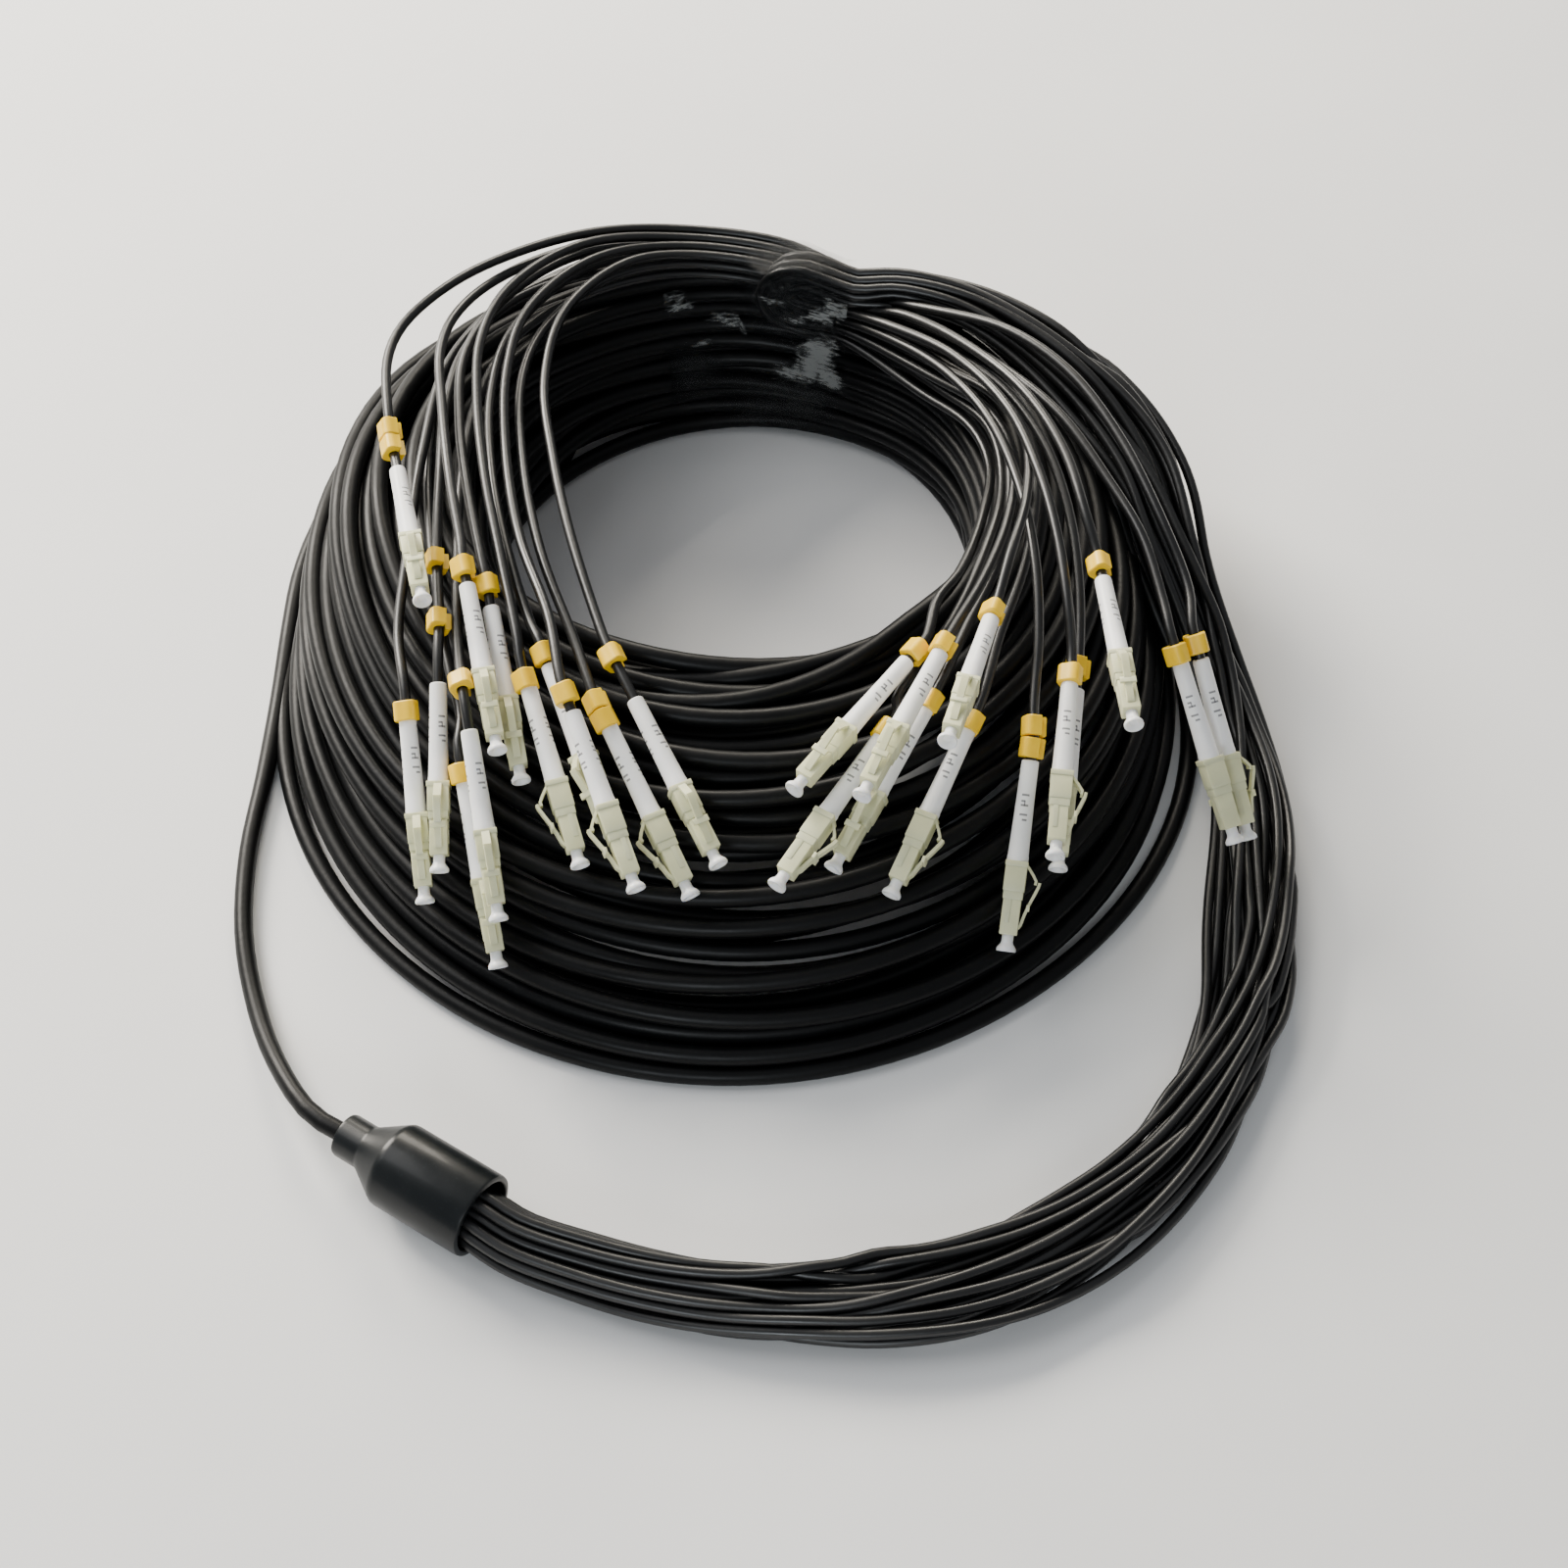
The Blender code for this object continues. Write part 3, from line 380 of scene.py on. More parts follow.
class Paint:
    """A material's nodes, with the one method that adds them."""

    def __init__(self, name, **constants):
        self.material = bpy.data.materials.new(name)
        self.material.use_nodes = True
        self.tree = self.material.node_tree
        self.shader = self.tree.nodes["Principled BSDF"]
        self.set(**constants)
        self.place = self.node("ShaderNodeTexCoord", out="Object")

    def node(self, kind, settings=None, values=None, out=0):
        made = self.tree.nodes.new(kind)
        for key, value in (settings or {}).items():
            if key == "stops":
                self.set_stops(made.color_ramp, value)
            else:
                setattr(made, key, value)
        for key, value in (values or {}).items():
            self.feed(made.inputs[key], value)
        return Sock(self, made.outputs[out])

    def set_stops(self, ramp, stops):
        while len(ramp.elements) < len(stops):
            ramp.elements.new(0.5)
        for element, (position, colour) in zip(ramp.elements, stops):
            element.position = position
            element.color = (*colour, 1.0)

    def feed(self, socket, value):
        if isinstance(value, Sock):
            self.tree.links.new(value.socket, socket)
        else:
            socket.default_value = value

    def set(self, **inputs):
        for socket, value in inputs.items():
            self.feed(self.shader.inputs[socket.replace("_", " ")], value)
        return self.material

    def noise(self, scale, detail=3.0, roughness=0.5, place=None):
        values = {"Vector": place or self.place, "Scale": scale, "Detail": detail, "Roughness": roughness}
        return self.node("ShaderNodeTexNoise", values=values)

    def ramp(self, factor, low, high, start=0.0, end=1.0):
        stops = [(start, low), (end, high)]
        return self.node("ShaderNodeValToRGB", {"stops": stops}, {0: factor})

    def steps(self, factor, low, high, start, end):
        """A number that goes from low to high while the factor goes from start to end."""
        values = {"Value": factor, "From Min": start, "From Max": end, "To Min": low, "To Max": high}
        return self.node("ShaderNodeMapRange", values=values)

    def bump(self, height, strength, distance):
        values = {"Height": height, "Strength": strength, "Distance": distance}
        return self.node("ShaderNodeBump", values=values)

    def vector(self, operation, *values, out="Vector"):
        return self.node("ShaderNodeVectorMath", {"operation": operation}, dict(enumerate(values)), out)

    def part(self, vector, axis):
        return self.node("ShaderNodeSeparateXYZ", values={0: vector}, out=axis)

    def blobs(self, spots, flat=1.0):
        """1 at each spot, falling to 0 at its size from it, or sooner in height where flat is above 1."""
        total = 0.0
        for centre, size in spots:
            offset = self.vector("SUBTRACT", self.place, Vector(centre) * MM + SHIFT)
            distance = self.vector("LENGTH", self.vector("MULTIPLY", offset, (1.0, 1.0, flat)), out="Value")
            total = total + self.steps(distance, 1.0, 0.0, size * 0.2 * MM, size * MM)
        return total


def tint(colour, factor):
    return tuple(min(1.0, channel * factor) for channel in colour)


def jacket_finish(name, colour, roughness, shine):
    """A satin black jacket: faint dust, slight scuffs and the fine ripple of an extruded sleeve."""
    paint = Paint(name, Specular_IOR_Level=shine, IOR=1.5)
    dust = paint.noise(900.0, 4.0, 0.7)
    smear = paint.noise(38.0, 3.0)
    colours = paint.ramp(dust, colour, tint(colour, 2.4), 0.55, 0.85)
    worn = paint.steps(smear, roughness - 0.06, roughness + 0.10, 0.3, 0.7)
    dusty = paint.steps(dust, 0.0, 0.12, 0.6, 0.9)
    ripple = paint.bump(paint.noise(520.0, 2.0), 0.12, 0.0004)
    return paint.set(Base_Color=colours, Roughness=worn + dusty, Normal=ripple)


def moulding_finish():
    """Gloss black moulding, a little wavy, with a faint blue in its reflections."""
    paint = Paint("breakout_moulding", Coat_Weight=0.07, Coat_Roughness=0.12, Specular_IOR_Level=0.25)
    waves = paint.noise(90.0, 2.0)
    specks = paint.noise(1400.0, 2.0, 0.7)
    colours = paint.ramp(specks, (0.0035, 0.005, 0.006), (0.012, 0.016, 0.019), 0.6, 0.85)
    gloss = paint.steps(waves, 0.30, 0.40, 0.3, 0.7) + paint.steps(specks, 0.0, 0.08, 0.6, 0.9)
    wavy = paint.bump(waves, 0.2, 0.0006)
    return paint.set(Base_Color=colours, Roughness=gloss, Normal=wavy)


def tape_finish():
    """Clear tape: film that is nearly see-through, with painted highlights on a few creased patches, a dim
    painted sheen in places and a darker patch with painted glints.
    """
    paint = Paint("clear_tape", Specular_IOR_Level=0.12, IOR=1.47)
    creases = paint.noise(330.0, 3.0, 0.65, paint.vector("MULTIPLY", paint.place, (1.0, 1.0, 4.5)))
    clouds = paint.noise(160.0, 4.0, 0.65)
    # Painted highlights: the creased spots and flat glints, broken up by noise, turn light grey and opaque
    patches = paint.blobs(TAPE_GLINT_PATCHES) + paint.blobs(TAPE_GLINTS, 2.6)
    painted_glints = paint.steps(patches * 0.8 + clouds * 0.8 + creases * 2.4 - 1.6, 0.0, 1.0, 0.5, 1.0)
    dim_sheen = paint.blobs(TAPE_SHEEN_SPOTS) * paint.steps(clouds, 0.5, 1.0, 0.35, 0.65)
    lifted = paint.steps(paint.part(paint.place, "Z"), 0.0, 1.0, 3 * MM, 9 * MM)
    dark_patch = paint.blobs([TAPE_DARK_PATCH])
    cover = (dim_sheen * 0.3 + painted_glints * 0.6 + dark_patch * 0.5) * lifted
    # Painted dim sheen, and painted glints along the creases of the darker patch, lighten the colour a little
    faint = dim_sheen * 0.12 + dark_patch * paint.steps(creases, 0.0, 0.3, 0.48, 0.68)
    colours = paint.ramp(painted_glints + faint, (0.006, 0.007, 0.008), (0.27, 0.28, 0.275), 0.02, 0.95)
    gloss = paint.steps(clouds, 0.30, 0.48, 0.3, 0.7)
    ridge = paint.bump(creases + clouds, 0.5, 0.0008)
    return paint.set(Base_Color=colours, Roughness=gloss, Alpha=cover, Normal=ridge)


def boot_finish(colour):
    """White boot plastic with a small number printed along it, a few times round."""
    paint = Paint("boot_plastic", Subsurface_Weight=0.1, **SOAKING)
    clouds = paint.noise(160.0, 3.0)
    sheet = paint.node("ShaderNodeTexCoord", out="UV")
    across = (paint.part(sheet, "X") * BOOT_PRINTS).math("FRACT")
    along = paint.part(sheet, "Y")
    printed = 0.0
    for side, side_half, spot, spot_half in BOOT_STROKES:
        printed = printed + across.math("COMPARE", side, side_half) * along.math("COMPARE", spot, spot_half)
    plain = paint.ramp(clouds, tint(colour, 0.96), tint(colour, 1.04), 0.3, 0.7)
    colours = paint.node(
        "ShaderNodeMix", {"data_type": "RGBA", "clamp_factor": True},
        {"Factor": printed * 0.8, 6: plain, 7: (0.10, 0.10, 0.11, 1.0)}, out=2)
    gloss = paint.steps(clouds, 0.36, 0.48, 0.3, 0.7)
    grain = paint.bump(paint.noise(2600.0, 2.0), 0.06, 0.0003)
    return paint.set(Base_Color=colours, Roughness=gloss, Normal=grain)


def plastic_finish(name, colour, roughness, glow):
    """Moulded plastic with a little cloudiness, a fine grain and light that soaks in."""
    paint = Paint(name, Subsurface_Weight=glow, **SOAKING)
    clouds = paint.noise(160.0, 3.0)
    colours = paint.ramp(clouds, tint(colour, 0.93), tint(colour, 1.04), 0.3, 0.7)
    gloss = paint.steps(clouds, roughness - 0.05, roughness + 0.07, 0.3, 0.7)
    grain = paint.bump(paint.noise(2600.0, 2.0), 0.06, 0.0003)
    return paint.set(Base_Color=colours, Roughness=gloss, Normal=grain)


def floor_finish():
    """A plain pale floor with the faintest mottle."""
    paint = Paint("pale_floor", Specular_IOR_Level=0.3)
    mottle = paint.noise(7.0, 4.0)
    colours = paint.ramp(mottle, (0.78, 0.78, 0.78), (0.84, 0.84, 0.835), 0.3, 0.7)
    return paint.set(Base_Color=colours, Roughness=paint.steps(mottle, 0.55, 0.65, 0.3, 0.7))


def place_mm(points):
    """Points of a route in millimetres, in the model's own place."""
    return [Vector(point[:3]) * MM + SHIFT for point in points]


def around_hole(angle, radius, height):
    """The place at an angle in degrees and a radius round the hole."""
    turn = math.radians(angle)
    x = HOLE_CENTRE[0] + radius * math.cos(turn)
    y = HOLE_CENTRE[1] + radius * math.sin(turn)
    return Vector((x, y, height)) + SHIFT


def coil_reach(turn):
    """How far the coil spreads on the floor at an angle."""
    side = math.sin(turn)
    middle = (REACH_FRONT + REACH_BACK) / 2
    return REACH_SIDE - (REACH_FRONT - REACH_BACK) / 2 * side + (middle - REACH_SIDE) * side * side


def between(front, back, turn):
    """A size that goes with the sine of the angle from its front value to its back value."""
    return (front + back) / 2 - (front - back) / 2 * math.sin(turn)


def near_angle(angle, middle, spread):
    """1 at the middle angle, in degrees, falling off smoothly over the spread on either side."""
    off = (angle - middle + 180) % 360 - 180
    return math.exp(-((off / spread) ** 2))


def coil_envelope(turn, share, fuller=0.0):
    """Radius and height on the coil's skin: share runs 0 to 1 up the wall, then 1 to 2 down the slope."""
    height = between(RIM_HEIGHT_FRONT, RIM_HEIGHT_BACK, turn)
    rim = between(RIM_RADIUS_FRONT, RIM_RADIUS_BACK, turn)
    reach = coil_reach(turn) + FULLER_REACH * fuller
    if share <= 1:
        return HOLE_RADIUS + (rim - HOLE_RADIUS) * share ** (1 / WALL_LEAN), height * share
    down = share - 1
    bulge = SLOPE_BULGE_SIDE + SLOPE_BULGE_BACK * math.sin(turn) + FULLER_BULGE * fuller
    return rim + (reach - rim) * down, height * max(0.0, 1 - down ** bulge) ** SLOPE_FALL


def over_skin(x, y, lift):
    """The place at x and y, in millimetres, at this height over the coil's skin, or over the floor off it."""
    place = Vector((x, y, lift)) * MM
    out = place.xy - Vector(HOLE_CENTRE)
    turn = math.atan2(out.y, out.x)
    rim = between(RIM_RADIUS_FRONT, RIM_RADIUS_BACK, turn)
    if out.length > rim:
        share = min(2.0, 1 + (out.length - rim) / (coil_reach(turn) - rim))
        place.z += coil_envelope(turn, share)[1]
    return place + SHIFT


def even_rows(rows, spacing=0.0, count=0):
    """Evenly spaced rows along a line of rows: this many, or as many as the spacing asks for."""
    walked = np.concatenate([[0], np.cumsum(np.linalg.norm(np.diff(rows, axis=0), axis=1))])
    even = np.linspace(0, walked[-1], count or max(2, round(walked[-1] / spacing)) + 1)
    return np.stack([np.interp(even, walked, column) for column in rows.T], axis=1)


def at_share(rows, share):
    """The row at a share of the way along evenly spaced rows."""
    spot = share * (len(rows) - 1)
    low = min(int(spot), len(rows) - 2)
    mix = spot - low
    return rows[low] * (1 - mix) + rows[low + 1] * mix


def skin_line(angle, inset):
    """Evenly spaced points along the skin, moved in by inset, and the outward direction at each."""
    turn = math.radians(angle)
    pressed = 1 - PRESSED_SHARE * near_angle(angle, PRESSED_ANGLE, PRESSED_SPREAD)
    fuller = near_angle(angle, FULLER_ANGLE, FULLER_SPREAD)
    shares = [2 * index / SKIN_SAMPLES for index in range(SKIN_SAMPLES + 1)]
    fine = np.array([coil_envelope(turn, share, fuller) for share in shares]) * (1, pressed)
    line = even_rows(fine, count=SKIN_POINTS)
    ahead = np.gradient(line, axis=0)
    ahead /= np.linalg.norm(ahead, axis=1)[:, None]
    outward = np.stack([-ahead[:, 1], ahead[:, 0]], axis=1)
    return line - outward * inset, outward


def turn_sway(waves, turn_number, share, progress):
    """How a turn strays along the skin and in depth, while its own wave goes over into the next turn's."""
    along = depth = 0.0
    for weight, wave in ((1 - share, waves[turn_number]), (share, waves[turn_number + 1])):
        phase, pace, depth_phase = wave
        along += weight * math.sin(phase + pace * progress * FULL_WAVE)
        depth += weight * math.sin(depth_phase + DEPTH_PACE * pace * progress * FULL_WAVE)
    return along, depth


def trunk_cells(diameter):
    """Radius and height of every turn at every station, settled so that turns press little on each other."""
    chance = random.Random(7)
    angles = [COIL_START_ANGLE - 360 * station / STATIONS for station in range(STATIONS)]
    lines = [skin_line(angle, diameter / 2) for angle in angles]
    waves = []
    for _ in range(SKIN_TURNS + CORE_TURNS + 1):
        waves.append((chance.uniform(0, FULL_WAVE), chance.uniform(0.5, 1.5), chance.uniform(0, FULL_WAVE)))
    wanted = []
    for index in range((SKIN_TURNS + CORE_TURNS) * STATIONS):
        turn_number, station = divmod(index, STATIONS)
        progress = index / STATIONS
        line, outward = lines[station]
        if progress < SKIN_TURNS:
            along = 1 - max(0.0, progress - 1) / (SKIN_TURNS - 1)
            depth = 0.0
        else:
            along = CORE_START + CORE_SPREAD * (progress - SKIN_TURNS) / CORE_TURNS
            depth = diameter * CORE_DEPTH
        calm = min(1.0, 0.25 + progress / 4)
        sway_along, sway_depth = turn_sway(waves, turn_number, station / STATIONS, progress)
        along = min(1.0, max(0.0, along + TURN_WANDER * sway_along * calm))
        inward = depth + TURN_DEPTH * (1 + sway_depth) * calm
        wanted.append(at_share(line, along) - at_share(outward, along) * inward)
    return settle_turns(np.array(wanted), lines, diameter)


def overlap_pushes(cells, need):
    """How far each row is pushed by the rows that lie nearer to it than need."""
    gaps = cells[:, None] - cells[None, :]
    apart = np.linalg.norm(gaps, axis=-1)
    rows = np.arange(len(cells))
    apart[rows, rows] = 1.0
    push = np.maximum(0.0, need - apart) * PUSH_SHARE
    return (gaps / np.maximum(apart, 1e-6)[..., None] * push[..., None]).sum(axis=1)


def even_out(moved, rounds, share):
    """Brings each row nearer to the middle of its neighbours."""
    for _ in range(rounds):
        moved[1:-1] += share * ((moved[:-2] + moved[2:]) / 2 - moved[1:-1])


def settle_station(cells, line, outward, diameter):
    """The turns at one station, pushed apart, inside the skin and off the floor."""
    cells = cells + overlap_pushes(cells, diameter + TURN_GAP)
    offsets = cells[:, None, :] - line[None, :, :]
    nearest = np.argmin(np.linalg.norm(offsets, axis=2), axis=1)
    rows = np.arange(len(cells))
    beyond = np.maximum(0.0, (offsets[rows, nearest] * outward[nearest]).sum(axis=1))
    cells = cells - outward[nearest] * beyond[:, None]
    cells[:, 1] = np.maximum(cells[:, 1], diameter / 2)
    return cells


def settle_turns(wanted, lines, diameter):
    """Settles the turns station by station and evens out the pushes along the cable."""
    moved = np.zeros_like(wanted)
    for _ in range(SETTLE_ROUNDS):
        cells = wanted + moved
        for station, (line, outward) in enumerate(lines):
            cells[station::STATIONS] = settle_station(cells[station::STATIONS], line, outward, diameter)
        moved = cells - wanted
        even_out(moved, 2, 0.4)
        moved *= PUSHES_KEPT
    even_out(moved, 6, 0.5)
    cells = wanted + moved
    cells[:, 1] = np.maximum(cells[:, 1], diameter / 2)
    return cells


def trunk_route(diameter):
    """The whole cable: from the breakout's collar round all its turns to the end hidden in the coil."""
    turns = []
    for index, (radius, height) in enumerate(trunk_cells(diameter)):
        progress = index / STATIONS
        angle = COIL_START_ANGLE - 360 * index / STATIONS
        for middle, spread, reach in LOOSE_PLACES:
            radius += reach * near_angle(angle, middle, spread) * max(0.0, 1 - progress / LOOSE_TURNS)
        turns.append(around_hole(angle, radius, height))
    collar = breakout_point(0.0)
    lead = [collar, collar - breakout_axis() * 2 * diameter] + place_mm(reversed(LEAD_ROUTE))
    return smooth_route(lead + turns, TRUNK_SPACING)


def route_point(before, start, end, after, share):
    """A point on a smooth curve from start to end that also heeds the points on either side."""
    first = math.sqrt((start - before).length)
    middle = math.sqrt((end - start).length)
    last = math.sqrt((after - end).length)
    leave = (end - start) + middle * ((start - before) / first - (end - before) / (first + middle))
    arrive = (end - start) + middle * ((after - end) / last - (after - start) / (middle + last))
    square, cube = share * share, share * share * share
    return (
        start * (2 * cube - 3 * square + 1) + leave * (cube - 2 * square + share)
        + end * (3 * square - 2 * cube) + arrive * (cube - square)
    )


def smooth_route(points, spacing):
    """Evenly spaced points on a smooth curve through the given ones."""
    ends = [2 * points[0] - points[1], *points, 2 * points[-1] - points[-2]]
    fine = []
    for index in range(1, len(ends) - 2):
        corners = ends[index - 1 : index + 3]
        fine.extend(tuple(route_point(*corners, step / ROUTE_STEPS)) for step in range(ROUTE_STEPS))
    fine.append(tuple(points[-1]))
    return [Vector(row) for row in even_rows(np.array(fine), spacing)]


def route_length(points):
    return sum((second - first).length for first, second in zip(points, points[1:]))


def breakout_axis():
    heading = math.radians(BREAKOUT_HEADING)
    return Vector((math.cos(heading), math.sin(heading), 0.0))


def breakout_point(distance):
    return Vector((*BREAKOUT_START, BODY_RADIUS)) + SHIFT + breakout_axis() * distance


def exit_cells(count, pitch):
    """Places of the tails in the breakout's mouth, packed like a honeycomb from the middle out."""
    cells = []
    for row in range(-4, 5):
        for column in range(-4, 5):
            cells.append((pitch * (column + 0.5 * (row % 2)), pitch * row * math.sqrt(3) / 2))
    middle = (pitch * 0.25, pitch * 0.3)
    cells.sort(key=lambda cell: (cell[0] - middle[0]) ** 2 + (cell[1] - middle[1]) ** 2)
    chosen = cells[:count]
    return [(x - middle[0], y - middle[1]) for x, y in chosen]


def tie_cell(number, slot):
    """Radius and height at which a tail first passes the tape: the left ones lie under the right ones."""
    column, row = slot
    if number < len(LEFT_TAILS):
        return TIE_LEFT_START[0] + TIE_PITCH[0] * column, TIE_LEFT_START[1] + TIE_PITCH[1] * (2 - row)
    if row < 3:
        return RIGHT_SLOT_RADII[column], TIE_RIGHT_TOP - TIE_PITCH[1] * row
    return TIE_RIGHT_OUTER[column]


def tie_cells():
    """Where each tail passes the tape, as offsets from the tie's middle."""
    cells = [tie_cell(number, tail[0]) for number, tail in enumerate(LEFT_TAILS + RIGHT_TAILS)]
    return [(radius - TIE_MIDDLE[0], height - TIE_MIDDLE[1]) for radius, height in cells]


def bundle_stations():
    """Every few millimetres: centre, directions across and up, half width, half height and looseness."""
    centres = [breakout_point(BREAKOUT_LENGTH - MOUTH_DEPTH), breakout_point(BREAKOUT_LENGTH)]
    centres += [*place_mm(BUNDLE_ROUTE), around_hole(TIE_ANGLE, *TIE_MIDDLE)]
    sizes = [*MOUTH_SIZES, *(station[3:] for station in BUNDLE_ROUTE), TIE_SIZE]
    line = smooth_route(centres, BUNDLE_SPACING)
    places = np.array([tuple(point) for point in line])
    marks = [int(np.argmin(np.linalg.norm(places - np.array(tuple(centre)), axis=1))) for centre in centres]
    stations = []
    for index, centre in enumerate(line):
        ahead = (line[min(index + 1, len(line) - 1)] - line[max(index - 1, 0)]).normalized()
        across = Vector((ahead.y, -ahead.x, 0.0)).normalized()
        upward = across.cross(ahead).normalized()
        wide, high, loose = (float(np.interp(index, marks, column)) for column in zip(*sizes))
        stations.append((centre, across, upward, wide * MM, high * MM, loose))
    return stations


def bundle_way(first, last, waves, stations):
    """A tail's offsets across and up the bundle: its first place, turning and drifting, then its last."""
    way = []
    for index, (_, _, _, wide, high, loose) in enumerate(stations):
        share = index / (len(stations) - 1)
        late = max(0.0, (share - GATHER_START) / GATHER_LENGTH)
        blend = late * late * (3 - 2 * late)
        swirl = SWIRL * math.sin(SWIRL_PACE * share * math.pi) * loose
        spot = Matrix.Rotation(swirl, 2) @ Vector((first[0] / MOUTH_SPREAD, first[1] / MOUTH_SPREAD))
        drift = [DRIFT * loose * math.sin(phase + pace * share * FULL_WAVE) for phase, pace in waves]
        early = ((spot[0] + drift[0]) * wide, (spot[1] + drift[1]) * high)
        way.append([early[axis] * (1 - blend) + last[axis] * blend for axis in range(2)])
    return way


def settle_bundle(wanted, floors, diameter):
    """Pushes the tails apart along the bundle, off the floor, with both ends kept."""
    cells = wanted.copy()
    for _ in range(SETTLE_ROUNDS):
        cells += overlap_pushes(cells, diameter * CROWDING)
        cells[:, 1:-1] += 0.22 * ((cells[:, :-2] + cells[:, 2:]) / 2 - cells[:, 1:-1])
        cells += 0.02 * (wanted - cells)
        cells[:, :, 1] = np.maximum(cells[:, :, 1], floors[None, :])
        cells[:, [0, -1]] = wanted[:, [0, -1]]
    return cells


def bundle_lines(diameter):
    """The tails' ways from the breakout to the tape, side by side and pushed off each other."""
    chance = random.Random(11)
    stations = bundle_stations()
    finish = tie_cells()
    start = exit_cells(len(finish), diameter * MOUTH_PITCH)
    order = match_cells(start, finish)
    waves = [[(chance.uniform(0, FULL_WAVE), chance.uniform(1.5, 3.5)) for _ in range(2)] for _ in finish]
    ways = [bundle_way(start[place], last, wave, stations) for place, last, wave in zip(order, finish, waves)]
    floors = np.array([diameter / 2 - centre.z for centre, *_ in stations])
    return [
        [centre + across * x + upward * y for (centre, across, upward, *_), (x, y) in zip(stations, way)]
        for way in settle_bundle(np.array(ways), floors, diameter)
    ]


def match_cells(start, finish):
    """Gives each tail a place in the mouth on the same side as its place at the tape."""
    free = list(range(len(start)))
    order = [0] * len(finish)
    for tail in sorted(range(len(finish)), key=lambda item: -finish[item][1]):
        aim = (finish[tail][0] * 0.8, (finish[tail][1] - 3 * MM) * 0.8)
        best = min(free, key=lambda cell: (start[cell][0] - aim[0]) ** 2 + (start[cell][1] - aim[1]) ** 2)
        free.remove(best)
        order[tail] = best
    return order


def bend_back(come, leave):
    """Points of the loop in which a right tail turns under the tape, from its way in to its way out."""
    come, leave = Vector(come), Vector(leave)
    middle = (come + leave) / 2
    half = (come - leave).length / 2
    ahead = (come - leave).normalized()
    reach = max(BEND_RADIUS, 0.83 * half + 3 * MM)
    turns = [(reach * math.cos(turn), reach * math.sin(turn)) for turn in (math.pi / 2, math.pi / 4, 0.0)]
    ways = [(-BEND_APPROACH, half), (-BEND_APPROACH / 2, (half + reach) / 2), *turns]
    ways += [(along, -across) for along, across in reversed(ways[:-1])]
    points = []
    for along, across in ways:
        angle = TIE_ANGLE + math.degrees((BEND_APPROACH + along) / middle.x)
        points.append(around_hole(angle, *(middle + ahead * across)))
    return points[1:-1]


def tail_routes(diameter):
    """Every tail from the breakout to its boot."""
    lines = bundle_lines(diameter)
    routes = []
    for index, (slot, way, start, end, *_) in enumerate(LEFT_TAILS + RIGHT_TAILS):
        boot, tip = over_skin(*start), over_skin(*end)
        ahead = (tip - boot).normalized()
        ends = [boot - ahead * diameter * 3, boot, boot + ahead * TAIL_IN_BOOT]
        column, row = slot
        come = tie_cell(index, slot)
        if index < len(LEFT_TAILS):
            leave = (LEFT_SLOT_RADII[column], LEFT_SLOT_HEIGHTS[row])
            middle = ((come[0] + leave[0]) / 2, (come[1] + leave[1]) / 2)
            held = [around_hole(LEFT_MIDDLE_ANGLE, *middle), around_hole(LEFT_EXIT_ANGLE, *leave)]
        else:
            leave = (RIGHT_SLOT_RADII[column], RIGHT_SLOT_HEIGHTS[row])
            held = bend_back(come, leave) + [around_hole(RIGHT_EXIT_ANGLE, *leave)]
        routes.append(smooth_route(lines[index] + held + place_mm(way) + ends, TAIL_SPACING))
    return ease_apart(routes, diameter)


def crossing_moves(routes, owners, need):
    """How far each point of each tail moves off the tails that cross it."""
    tree = KDTree(len(owners))
    for number, (tail, index) in enumerate(owners):
        tree.insert(routes[tail][index], number)
    tree.balance()
    moves = [[Vector() for _ in route] for route in routes]
    for tail, index in owners:
        here = routes[tail][index]
        for there, number, distance in tree.find_range(here, need):
            other, other_index = owners[number]
            if other == tail and abs(other_index - index) < 5:
                continue
            away = (here - there).normalized() if distance > 1e-7 else Vector((0, 0, 1))
            moves[tail][index] += away * (need - distance) * 0.35
    return moves


def ease_apart(routes, diameter):
    """Eases tails apart where they cross, and off the floor, without changing where they end."""
    owners = [(tail, index) for tail, route in enumerate(routes) for index in range(len(route))]
    for _ in range(EASE_ROUNDS):
        moves = crossing_moves(routes, owners, diameter * CROWDING)
        for route, spread in zip(routes, moves):
            last = len(route) - 1
            for _ in range(2):
                spread = [
                    (spread[max(index - 1, 0)] + 2 * spread[index] + spread[min(index + 1, last)]) / 4
                    for index in range(last + 1)
                ]
            for index in range(2, last - 4):
                route[index] += spread[index] * 1.6
                route[index].z = max(route[index].z, diameter / 2)
    for route in routes:
        open_bends(route)
    return routes


def open_bends(route):
    """Evens out the points at which a tail would turn too tightly."""
    for _ in range(BEND_ROUNDS):
        for index in range(2, len(route) - 5):
            before, here, after = route[index - 1 : index + 2]
            if (here - before).angle(after - here) > TIGHTEST_TURN:
                route[index] = (before + 2 * here + after) / 4


